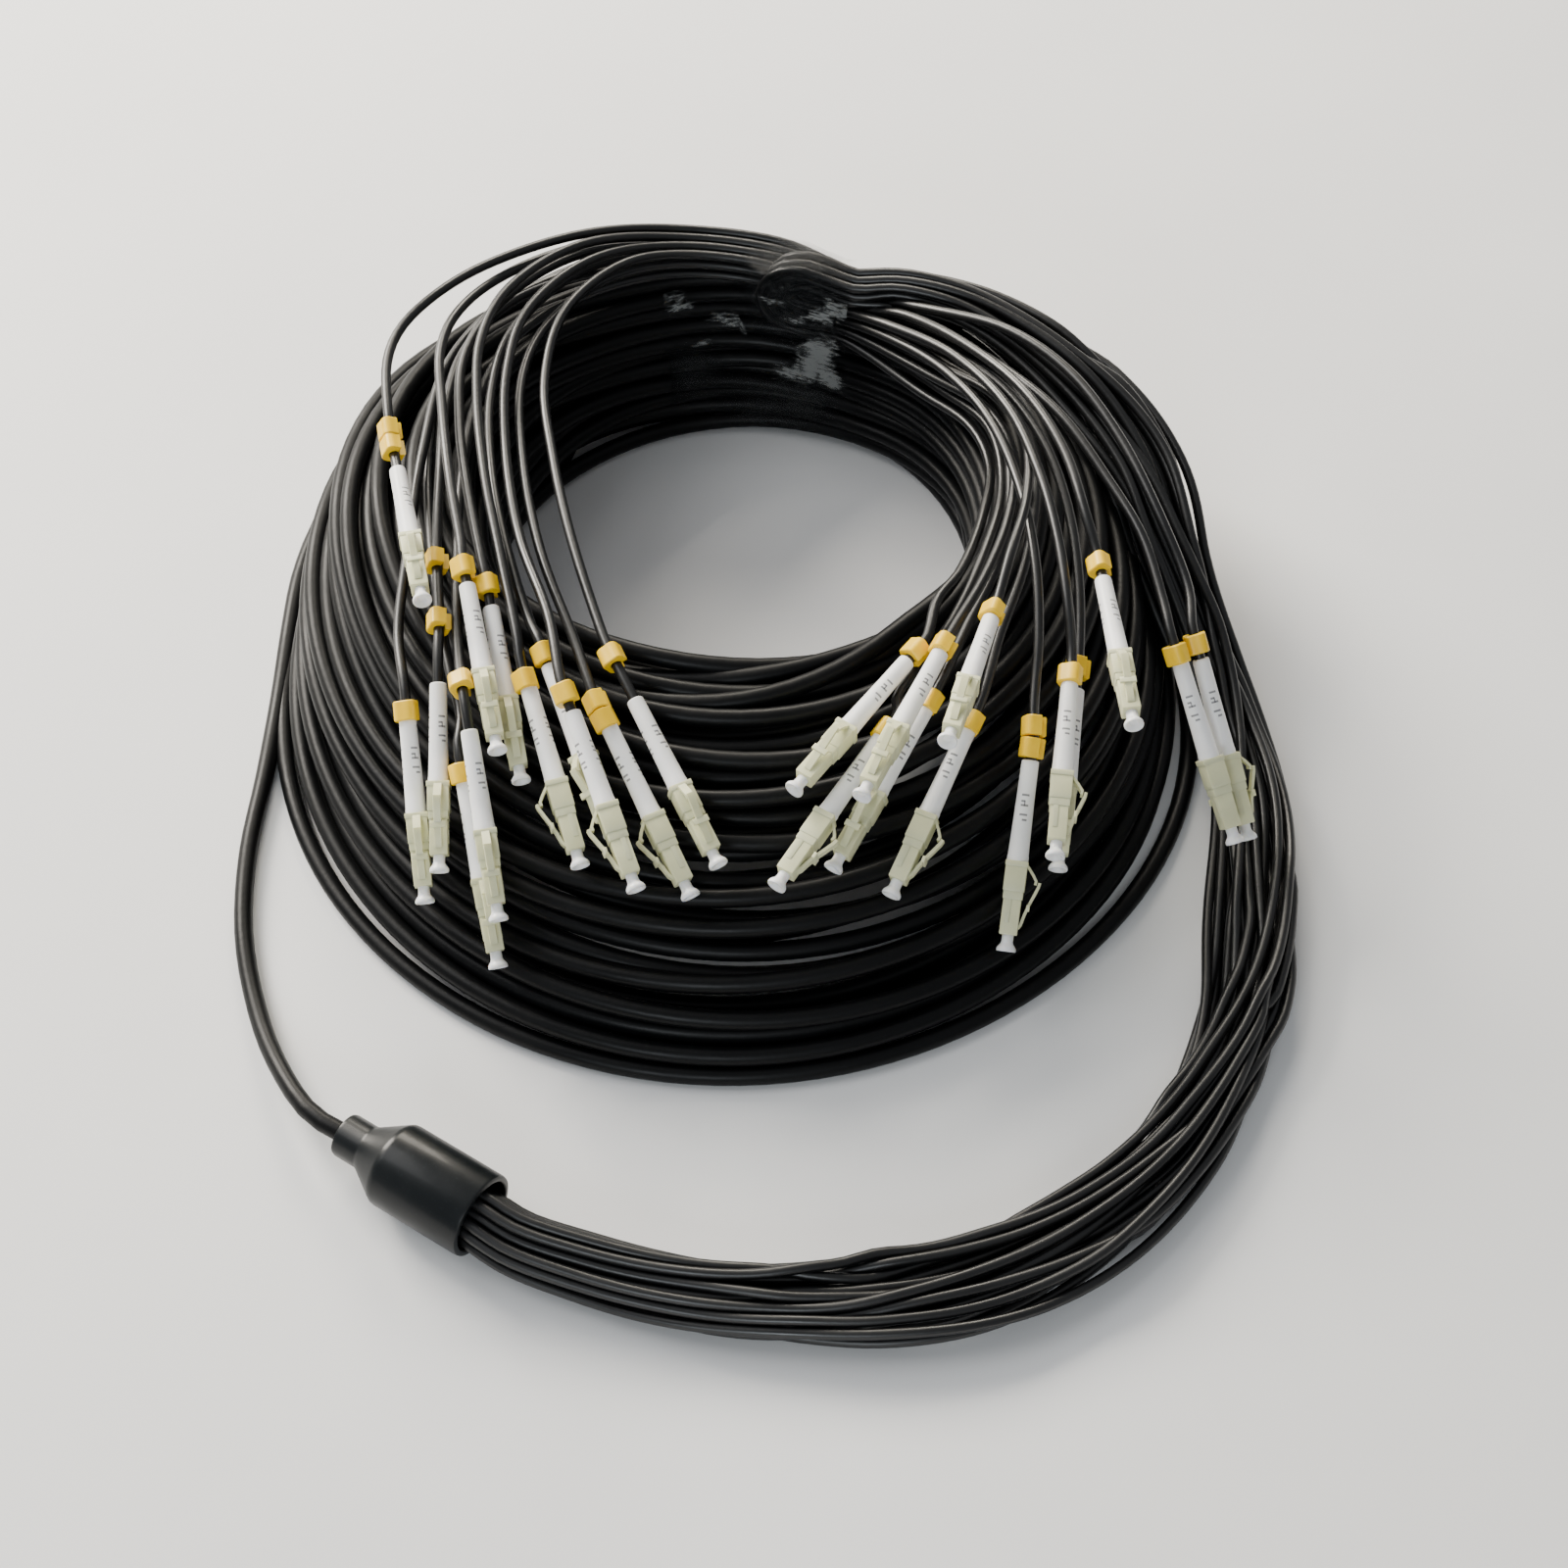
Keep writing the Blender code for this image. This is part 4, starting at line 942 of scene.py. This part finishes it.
def cord_tree():
    """Turns a run of edges into a round cord with closed ends."""
    tree = bpy.data.node_groups.new("round_cord", "GeometryNodeTree")
    inputs = {"Geometry": "Geometry", "Diameter": "Float", "Sides": "Int", "Finish": "Material"}
    for name, kind in inputs.items():
        tree.interface.new_socket(name, in_out="INPUT", socket_type="NodeSocket" + kind)
    tree.interface.new_socket("Geometry", in_out="OUTPUT", socket_type="NodeSocketGeometry")
    nodes, links = tree.nodes, tree.links
    source = nodes.new("NodeGroupInput")
    flow = source.outputs["Geometry"]
    made = {}
    for kind in ("MeshToCurve", "CurveToMesh", "SetShadeSmooth", "RealizeInstances", "SetMaterial"):
        made[kind] = nodes.new("GeometryNode" + kind)
        links.new(flow, made[kind].inputs[0])
        flow = made[kind].outputs[0]
    links.new(flow, nodes.new("NodeGroupOutput").inputs["Geometry"])
    half = nodes.new("ShaderNodeMath")
    half.operation = "MULTIPLY"
    half.inputs[1].default_value = 0.5
    circle = nodes.new("GeometryNodeCurvePrimitiveCircle")
    links.new(source.outputs["Diameter"], half.inputs[0])
    links.new(half.outputs[0], circle.inputs["Radius"])
    links.new(source.outputs["Sides"], circle.inputs["Resolution"])
    links.new(circle.outputs["Curve"], made["CurveToMesh"].inputs["Profile Curve"])
    made["CurveToMesh"].inputs["Fill Caps"].default_value = True
    links.new(source.outputs["Finish"], made["SetMaterial"].inputs["Material"])
    return tree


def new_object(name, data):
    made = bpy.data.objects.new(name, data)
    bpy.context.scene.collection.objects.link(made)
    return made


def plain_mesh(item, name, finish):
    """The shown shape of an object as a plain mesh in a new object at the origin."""
    bpy.context.view_layer.update()
    graph = bpy.context.evaluated_depsgraph_get()
    shown = item.evaluated_get(graph)
    mesh = bpy.data.meshes.new_from_object(shown, preserve_all_data_layers=True, depsgraph=graph)
    bpy.data.objects.remove(item, do_unlink=True)
    mesh.name = name
    mesh.materials.clear()
    mesh.materials.append(finish)
    return new_object(name, mesh)


def make_cord(name, points, diameter, sides, finish):
    """A round cord with closed ends along the points."""
    mesh = bpy.data.meshes.new(name + "_line")
    mesh.from_pydata([tuple(point) for point in points], [(i, i + 1) for i in range(len(points) - 1)], [])
    line = new_object(name + "_line", mesh)
    change = line.modifiers.new("cord", "NODES")
    change.node_group = bpy.data.node_groups.get("round_cord") or cord_tree()
    values = {"Diameter": diameter, "Sides": sides, "Finish": finish}
    for socket in change.node_group.interface.items_tree:
        if socket.name in values:
            change[socket.identifier] = values[socket.name]
    return plain_mesh(line, name, finish)


def mesh_object(name, build, finish, smooth_angle=35):
    """A new piece from a function that fills an edit mesh."""
    shape = bmesh.new()
    build(shape)
    bmesh.ops.recalc_face_normals(shape, faces=shape.faces)
    mesh = bpy.data.meshes.new(name)
    shape.to_mesh(mesh)
    shape.free()
    mesh.materials.append(finish)
    mesh.polygons.foreach_set("use_smooth", [True] * len(mesh.polygons))
    mesh.set_sharp_from_angle(angle=math.radians(smooth_angle))
    return new_object(name, mesh)


def turned(shape, profile, sides, start=0.0):
    """A closed shape turned about +X from (distance, radius) pairs in millimetres, ends on the axis."""
    profile = [(start + distance * MM, radius * MM) for distance, radius in profile]
    rings = []
    unwrap = shape.loops.layers.uv.new("around")
    length = max(distance for distance, _ in profile)
    for distance, radius in profile:
        if radius <= 0:
            rings.append([shape.verts.new((distance, 0, 0))])
            continue
        ring = []
        for side in range(sides):
            turn = 2 * math.pi * side / sides
            ring.append(shape.verts.new((distance, radius * math.cos(turn), radius * math.sin(turn))))
        rings.append(ring)
    for first, second in zip(rings, rings[1:]):
        for side in range(sides):
            places = {}
            for ring, step in ((first, side), (first, side + 1), (second, side + 1), (second, side)):
                places.setdefault(ring[step % sides % len(ring)], step / sides)
            if len(places) > 2:
                face = shape.faces.new(list(places))
                for loop in face.loops:
                    loop[unwrap].uv = (places[loop.vert], loop.vert.co.x / length)


def finish_piece(item, replaces=()):
    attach(item, "root")
    if replaces:
        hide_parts(*replaces)
    return item


def build_boot(shape):
    """The boot: a soft cone with a lip where the tail goes in and a step where the plug body starts."""
    profile = [
        (1.6, 0), (1.6, 1.55), (0.1, 1.6), (0.0, 1.75), (0.0, 2.1), (0.25, 2.35), (1.2, 2.42), (9, 2.5),
        (20, 2.72), (26.4, 2.88), (26.8, 2.98), (28.6, 2.98), (28.8, 2.8), (28.8, 0),
    ]
    turned(shape, profile, PLUG_SIDES)


def rounded_block(shape, start, end, width, height, bevel, middle=0.0):
    """A box along +X with rounded edges."""
    made = bmesh.ops.create_cube(shape, size=1.0)["verts"]
    size = Vector((end - start, width, height))
    for vertex in made:
        vertex.co = Vector((vertex.co.x * size.x, vertex.co.y * size.y, vertex.co.z * size.z))
        vertex.co += Vector(((start + end) / 2, 0, middle))
    edges = list({edge for vertex in made for edge in vertex.link_edges})
    bmesh.ops.bevel(shape, geom=edges, offset=bevel, segments=2, profile=0.6, affect="EDGES")


def strip(shape, line, width, thickness):
    """A bar of flat section that follows a line in the plug's upright plane, with its upper edges cut."""
    half = thickness / 2
    sections = []
    for index, (x, z) in enumerate(line):
        before, after = line[max(index - 1, 0)], line[min(index + 1, len(line) - 1)]
        ahead = Vector((after[0] - before[0], after[1] - before[1])).normalized()
        normal = Vector((-ahead.y, ahead.x))
        section = []
        for side, up in ((-1, -1), (1, -1), (1, 1), (-1, 1)):
            reach = width / 2 - (0.18 * thickness if up > 0 else 0.0)
            place = (x + normal.x * up * half, side * reach, z + normal.y * up * half)
            section.append(shape.verts.new(place))
        sections.append(section)
    for first, second in zip(sections, sections[1:]):
        for corner in range(4):
            after = (corner + 1) % 4
            shape.faces.new((first[corner], first[after], second[after], second[corner]))
    shape.faces.new(sections[0])
    shape.faces.new(sections[-1])


def moved_line(origin, steps):
    """The places at steps in millimetres from an origin."""
    return [(origin[0] + x * MM, origin[1] + z * MM) for x, z in steps]


def build_plug_body(shape):
    """The plug's housing with its shoulders, side ribs and the latch and trigger that meet over it."""
    rear = BOOT_LENGTH
    nose = rear + PLUG_REAR_LENGTH
    end = nose + PLUG_NOSE_LENGTH
    wide, slim = PLUG_REAR_WIDTH, PLUG_NOSE_WIDTH
    neck = slim + 0.5 * MM
    rounded_block(shape, rear + 0.6 * MM, nose, wide, wide, 0.45 * MM)
    rounded_block(shape, rear, rear + 1.6 * MM, wide + 0.5 * MM, wide + 0.3 * MM, 0.3 * MM)
    rounded_block(shape, nose - 1.4 * MM, nose + 2.2 * MM, neck, neck, 0.3 * MM)
    rounded_block(shape, nose, end, slim, slim, 0.35 * MM)
    rounded_block(shape, nose + 1.0 * MM, end - 3.4 * MM, slim + 0.35 * MM, 1.5 * MM, 0.15 * MM, -0.9 * MM)
    peak = (nose - 2.0 * MM, wide / 2 + LATCH_RISE - 0.7 * MM)
    trigger = moved_line((rear, wide / 2), ((0.9, -0.2), (1.7, 0.5), (3.2, 1.7), (4.9, 2.8)))
    trigger += moved_line(peak, [(-0.5, -0.6)])
    strip(shape, trigger, LATCH_WIDTH, 0.75 * MM)
    latch = moved_line(peak, ((-1.2, 0.55), (0, 0.35)))
    latch += moved_line((nose, slim / 2), ((0.8, 3.1), (3.6, 2.0), (6.4, 1.15)))
    latch += moved_line((end - 2.2 * MM, slim / 2), ((-0.8, 0.55), (0.2, -0.1)))
    strip(shape, latch, LATCH_WIDTH * 0.92, 0.8 * MM)
    catch = slim / 2 + 2.0 * MM
    rounded_block(shape, nose + 3.2 * MM, nose + 5.0 * MM, slim - 0.5 * MM, 0.9 * MM, 0.15 * MM, catch)


def build_cap(shape):
    """The dust cap: a short sleeve over the plug's nose with a wide dished rim."""
    profile = [
        (-0.6, 0), (-0.6, 1.5), (0.1, 1.62), (1.9, 1.62), (2.5, 1.8), (3.2, 2.35), (3.7, 2.66), (4.3, 2.72),
        (4.6, 2.6), (4.6, 2.1), (4.0, 1.5), (3.2, 1.1), (3.2, 0),
    ]
    turned(shape, profile, PLUG_SIDES, BOOT_LENGTH + PLUG_REAR_LENGTH + PLUG_NOSE_LENGTH)


def build_ring(shape, radius, length):
    """A marker ring: a flat-sided clip, open along one side, that snaps round the tail."""
    corners = []
    for side in range(PLUG_SIDES + 1):
        turn = math.radians(RING_START + RING_SWEEP * side / PLUG_SIDES)
        flat = 1.0 + RING_FLATNESS * math.cos(4 * turn)
        corners.append((math.cos(turn), math.sin(turn), radius * flat))
    half = length / 2
    edge = 0.3 * MM
    rows = []
    for x, inset in ((-half, 0.25 * MM), (-half + edge, 0.0), (half - edge, 0.0), (half, 0.25 * MM)):
        outer = [shape.verts.new((x, c * (r - inset), s * (r - inset))) for c, s, r in corners]
        inner = [shape.verts.new((x, c * RING_INNER_RADIUS, s * RING_INNER_RADIUS)) for c, s, _ in corners]
        rows.append((outer, inner))
    for (outer, inner), (next_outer, next_inner) in zip(rows, rows[1:]):
        for side in range(PLUG_SIDES):
            shape.faces.new((outer[side], outer[side + 1], next_outer[side + 1], next_outer[side]))
            shape.faces.new((inner[side + 1], inner[side], next_inner[side], next_inner[side + 1]))
        for side in (0, PLUG_SIDES):
            shape.faces.new((outer[side], next_outer[side], next_inner[side], inner[side]))
    for outer, inner in (rows[0], rows[-1]):
        for side in range(PLUG_SIDES):
            shape.faces.new((outer[side], outer[side + 1], inner[side + 1], inner[side]))


def plug_place(start, tip, roll):
    """The plug's frame: +X from its boot to its cap, and its latch turned from straight up by degrees."""
    ahead = (tip - start).normalized()
    across = Vector((0, 0, 1)).cross(ahead).normalized()
    upward = ahead.cross(across)
    turn = Matrix.Rotation(math.radians(roll), 4, "X")
    return Matrix.Translation(start) @ Matrix((ahead, across, upward)).transposed().to_4x4() @ turn


def copy_piece(pattern, name, place):
    """A copy of a pattern piece with its place in its mesh."""
    mesh = pattern.data.copy()
    mesh.transform(place)
    mesh.name = name
    return new_object(name, mesh)


class CABLE_OT_camera(bpy.types.Operator):
    """Places the camera at the photograph's view"""

    bl_idname = "cable.camera"
    bl_label = "Camera"

    def execute(self, context):
        data = bpy.data.cameras.new("camera")
        data.sensor_width = 36
        data.lens = CAMERA_LENS
        data.clip_start = 0.02
        camera = new_object("camera", data)
        tilt = math.radians(CAMERA_TILT)
        back = Vector((0, -math.cos(tilt), math.sin(tilt)))
        camera.location = SHIFT + back * CAMERA_DISTANCE
        camera.rotation_euler = (-back).to_track_quat("-Z", "Y").to_euler()
        context.scene.camera = camera
        return {"FINISHED"}


class CABLE_OT_trunk(bpy.types.Operator):
    """Lays the one long cable: its lead and all its turns"""

    bl_idname = "cable.trunk"
    bl_label = "Coiled cable"

    def execute(self, context):
        sizes = context.scene.cable_sizes
        diameter = sizes.cable_diameter
        points = trunk_route(diameter)
        finish = jacket_finish("cable_jacket", tuple(sizes.jacket_colour), 0.40, 0.18)
        trunk = make_cord("coiled_cable", points, diameter, 12, finish)
        finish_piece(trunk, replaces=("cable_coil", "lead_cable"))
        route_length(points)
        return {"FINISHED"}


class CABLE_OT_breakout(bpy.types.Operator):
    """Turns the breakout with its collar, shoulder and open mouth"""

    bl_idname = "cable.breakout"
    bl_label = "Breakout"

    def execute(self, context):
        item = mesh_object("breakout", self.build, moulding_finish(), 40)
        item.data.transform(plug_place(breakout_point(0.0), breakout_point(0.1), 0))
        finish_piece(item, replaces=("breakout_boot",))
        return {"FINISHED"}

    def build(self, shape):
        shoulder = COLLAR_LENGTH / MM
        body = shoulder + TAPER_LENGTH / MM
        end = body + BODY_LENGTH / MM
        floor = end - MOUTH_DEPTH / MM
        collar, wide, mouth = COLLAR_RADIUS / MM, BODY_RADIUS / MM, MOUTH_RADIUS / MM
        profile = [
            (3.0, 0), (3.0, 3.1), (0.3, 3.2), (0, 3.5), (0, collar - 0.9), (0.35, collar - 0.25),
            (1.1, collar), (shoulder - 0.4, collar), (shoulder + 0.5, collar + 0.3),
            (body - 0.9, wide - 0.75), (body + 0.2, wide - 0.12), (body + 1.3, wide), (end - 1.0, wide),
            (end - 0.3, wide - 0.2),
            (end, wide - 0.7), (end, mouth + 0.3), (end - 0.3, mouth), (floor, mouth - 0.2), (floor, 0),
        ]
        turned(shape, profile, 64)


class CABLE_OT_tails(bpy.types.Operator):
    """Lays the tails with their plugs, boots, caps and marker rings"""

    bl_idname = "cable.tails"
    bl_label = "Tails and plugs"

    def execute(self, context):
        sizes = context.scene.cable_sizes
        diameter = sizes.tail_diameter
        jacket = jacket_finish("tail_jacket", tuple(sizes.jacket_colour), 0.36, 0.60)
        patterns = self.patterns(sizes)
        routes = tail_routes(diameter)
        CABLE_OT_tails.routes = routes
        for index, (_, _, start, end, roll, rings) in enumerate(LEFT_TAILS + RIGHT_TAILS):
            number = index + 1
            cord = make_cord(f"tail_cord_{number:02d}", routes[index], diameter, 10, jacket)
            place = plug_place(over_skin(*start), over_skin(*end), roll)
            for part in ("boot", "plug_body", "dust_cap"):
                piece = copy_piece(patterns[part], f"{part}_{number:02d}", place)
                finish_piece(piece, replaces=(f"plug_{number:02d}",))
            for count, distance in enumerate(rings):
                place = ring_place(routes[index], distance * MM, number)
                ring = copy_piece(patterns["ring"], f"marker_{number:02d}_{count + 1}", place)
                finish_piece(ring)
            finish_piece(cord, replaces=(f"tail_{number:02d}", "tail_bundle"))
            route_length(routes[index])
        for pattern in patterns.values():
            bpy.data.objects.remove(pattern, do_unlink=True)
        return {"FINISHED"}

    def patterns(self, sizes):
        white = boot_finish(tuple(sizes.boot_colour))
        ivory = plastic_finish("plug_plastic", tuple(sizes.plug_colour), 0.36, 0.25)
        clear = plastic_finish("cap_plastic", tuple(sizes.boot_colour), 0.30, 0.35)
        yellow = plastic_finish("marker_plastic", tuple(sizes.ring_colour), 0.38, 0.15)

        def ring(shape):
            build_ring(shape, sizes.ring_radius, sizes.ring_length)

        return {
            "boot": mesh_object("boot_pattern", build_boot, white),
            "plug_body": mesh_object("plug_body_pattern", build_plug_body, ivory, 30),
            "dust_cap": mesh_object("dust_cap_pattern", build_cap, clear),
            "ring": mesh_object("ring_pattern", ring, yellow, 30),
        }


def ring_place(route, distance, number):
    """Where a ring sits on its tail, this far back from the boot."""
    walked = TAIL_IN_BOOT
    for index in range(len(route) - 1, 0, -1):
        step = route[index] - route[index - 1]
        if distance + TAIL_IN_BOOT <= walked + step.length:
            share = (distance + TAIL_IN_BOOT - walked) / step.length
            spot = route[index].lerp(route[index - 1], share)
            return plug_place(spot, spot + step, 25 * math.sin(number * 2.4))
        walked += step.length
    raise RuntimeError("a marker ring lies past the start of its tail")


def hull_loop(points, outset, count):
    """The corners of the taut loop round a set of points, where neighbouring straight runs meet."""
    step = 2 * math.pi / count
    turns = [(math.cos(index * step), math.sin(index * step)) for index in range(count)]
    reaches = [outset + max(point[0] * side + point[1] * up for point in points) for side, up in turns]
    loop = []
    for index, (side, up) in enumerate(turns):
        reach, after = reaches[index], reaches[(index + 1) % count]
        sideways = (after - reach * math.cos(step)) / math.sin(step)
        loop.append((reach * side - sideways * up, reach * up + sideways * side))
    return loop


class CABLE_OT_tape(bpy.types.Operator):
    """Winds the clear tape round the back of the coil and the tails on it"""

    bl_idname = "cable.tape"
    bl_label = "Tape"

    def execute(self, context):
        sizes = context.scene.cable_sizes
        finish = tape_finish()
        film = mesh_object("tape_film", self.build, finish, 60)
        wall = film.modifiers.new("thickness", "SOLIDIFY")
        wall.thickness = sizes.tape_thickness
        wall.offset = 0.0
        film = plain_mesh(film, "tape_film", finish)
        finish_piece(film, replaces=("tape_wrap",))
        return {"FINISHED"}

    def build(self, shape):
        held = self.held_points(bpy.context.scene.cable_sizes.tail_diameter / 2)
        loops = []
        for angle in np.linspace(*TAPE_ANGLES, TAPE_ROWS):
            points = [coil_envelope(math.radians(angle), share / 20) for share in range(41)]
            points += [spot for at, spot in held if abs(at - angle) < 4]
            loop = hull_loop(points, TAPE_OUTSET, TAPE_CORNERS)
            row = [around_hole(angle, radius, max(height, 0.2 * MM)) for radius, height in loop]
            loops.append([shape.verts.new(self.pucker(spot)) for spot in row])
        for first, second in zip(loops, loops[1:]):
            for corner in range(TAPE_CORNERS):
                after = (corner + 1) % TAPE_CORNERS
                shape.faces.new((first[corner], first[after], second[after], second[corner]))

    def pucker(self, spot):
        """Lifts the film slightly in places, less near the floor."""
        lift = 0.5 * MM * max(0.0, noise.noise(spot * 90)) * min(1.0, spot.z / (20 * MM))
        return spot + Vector((0, 0, lift))

    def held_points(self, radius):
        """Every place, as angle, radius and height, where a tail passes under the tape."""
        held = []
        for point in (point - SHIFT for route in CABLE_OT_tails.routes for point in route):
            x, y = point.x - HOLE_CENTRE[0], point.y - HOLE_CENTRE[1]
            angle = math.degrees(math.atan2(y, x))
            if TAPE_ANGLES[0] - 5 < angle < TAPE_ANGLES[1] + 5 and y > 0:
                for side in range(8):
                    turn = math.pi * side / 4
                    out = math.hypot(x, y) + radius * math.cos(turn)
                    held.append((angle, (out, point.z + radius * math.sin(turn))))
        return held


class CABLE_OT_stage(bpy.types.Operator):
    """Sets the pale floor and the soft studio light"""

    bl_idname = "cable.stage"
    bl_label = "Floor and light"

    def execute(self, context):
        floor = mesh_object("floor", self.build, floor_finish())
        for lamp in LAMPS:
            self.light(*lamp)
        world = bpy.data.worlds.new("studio")
        world.use_nodes = True
        background = world.node_tree.nodes["Background"]
        background.inputs["Color"].default_value = WORLD_COLOUR
        background.inputs["Strength"].default_value = WORLD_STRENGTH
        context.scene.world = world
        return {"FINISHED"}

    def build(self, shape):
        bmesh.ops.create_grid(shape, x_segments=4, y_segments=4, size=FLOOR_SIZE)

    def light(self, name, place, size, power, colour):
        data = bpy.data.lights.new(name, "AREA")
        data.shape = "SQUARE"
        data.size = size
        data.energy = power
        data.color = colour
        lamp = new_object(name, data)
        lamp.location = place
        lamp.rotation_euler = (-Vector(place)).to_track_quat("-Z", "Y").to_euler()


class CABLE_PT_panel(bpy.types.Panel):
    """Lists the sizes and the steps"""

    bl_idname = "CABLE_PT_panel"
    bl_label = "Breakout cable"
    bl_space_type = "VIEW_3D"
    bl_region_type = "UI"
    bl_category = "Cable"

    def draw(self, context):
        sizes = context.scene.cable_sizes
        for name in CableSizes.__annotations__:
            self.layout.prop(sizes, name)
        for step in STEPS:
            self.layout.operator(step.bl_idname)


STEPS = (CABLE_OT_camera, CABLE_OT_trunk, CABLE_OT_breakout, CABLE_OT_tails, CABLE_OT_tape, CABLE_OT_stage)
CLASSES = (CableSizes, *STEPS, CABLE_PT_panel)


def register():
    for made in CLASSES:
        bpy.utils.register_class(made)
    bpy.types.Scene.cable_sizes = bpy.props.PointerProperty(type=CableSizes)


def unregister():
    del bpy.types.Scene.cable_sizes
    for made in reversed(CLASSES):
        bpy.utils.unregister_class(made)


def main():
    register()
    bpy.ops.cable.camera()
    bpy.ops.cable.trunk()
    bpy.ops.cable.breakout()
    bpy.ops.cable.tails()
    bpy.ops.cable.tape()
    bpy.ops.cable.stage()
    bpy.context.view_layer.update()


if __name__ == "__main__":
    main()
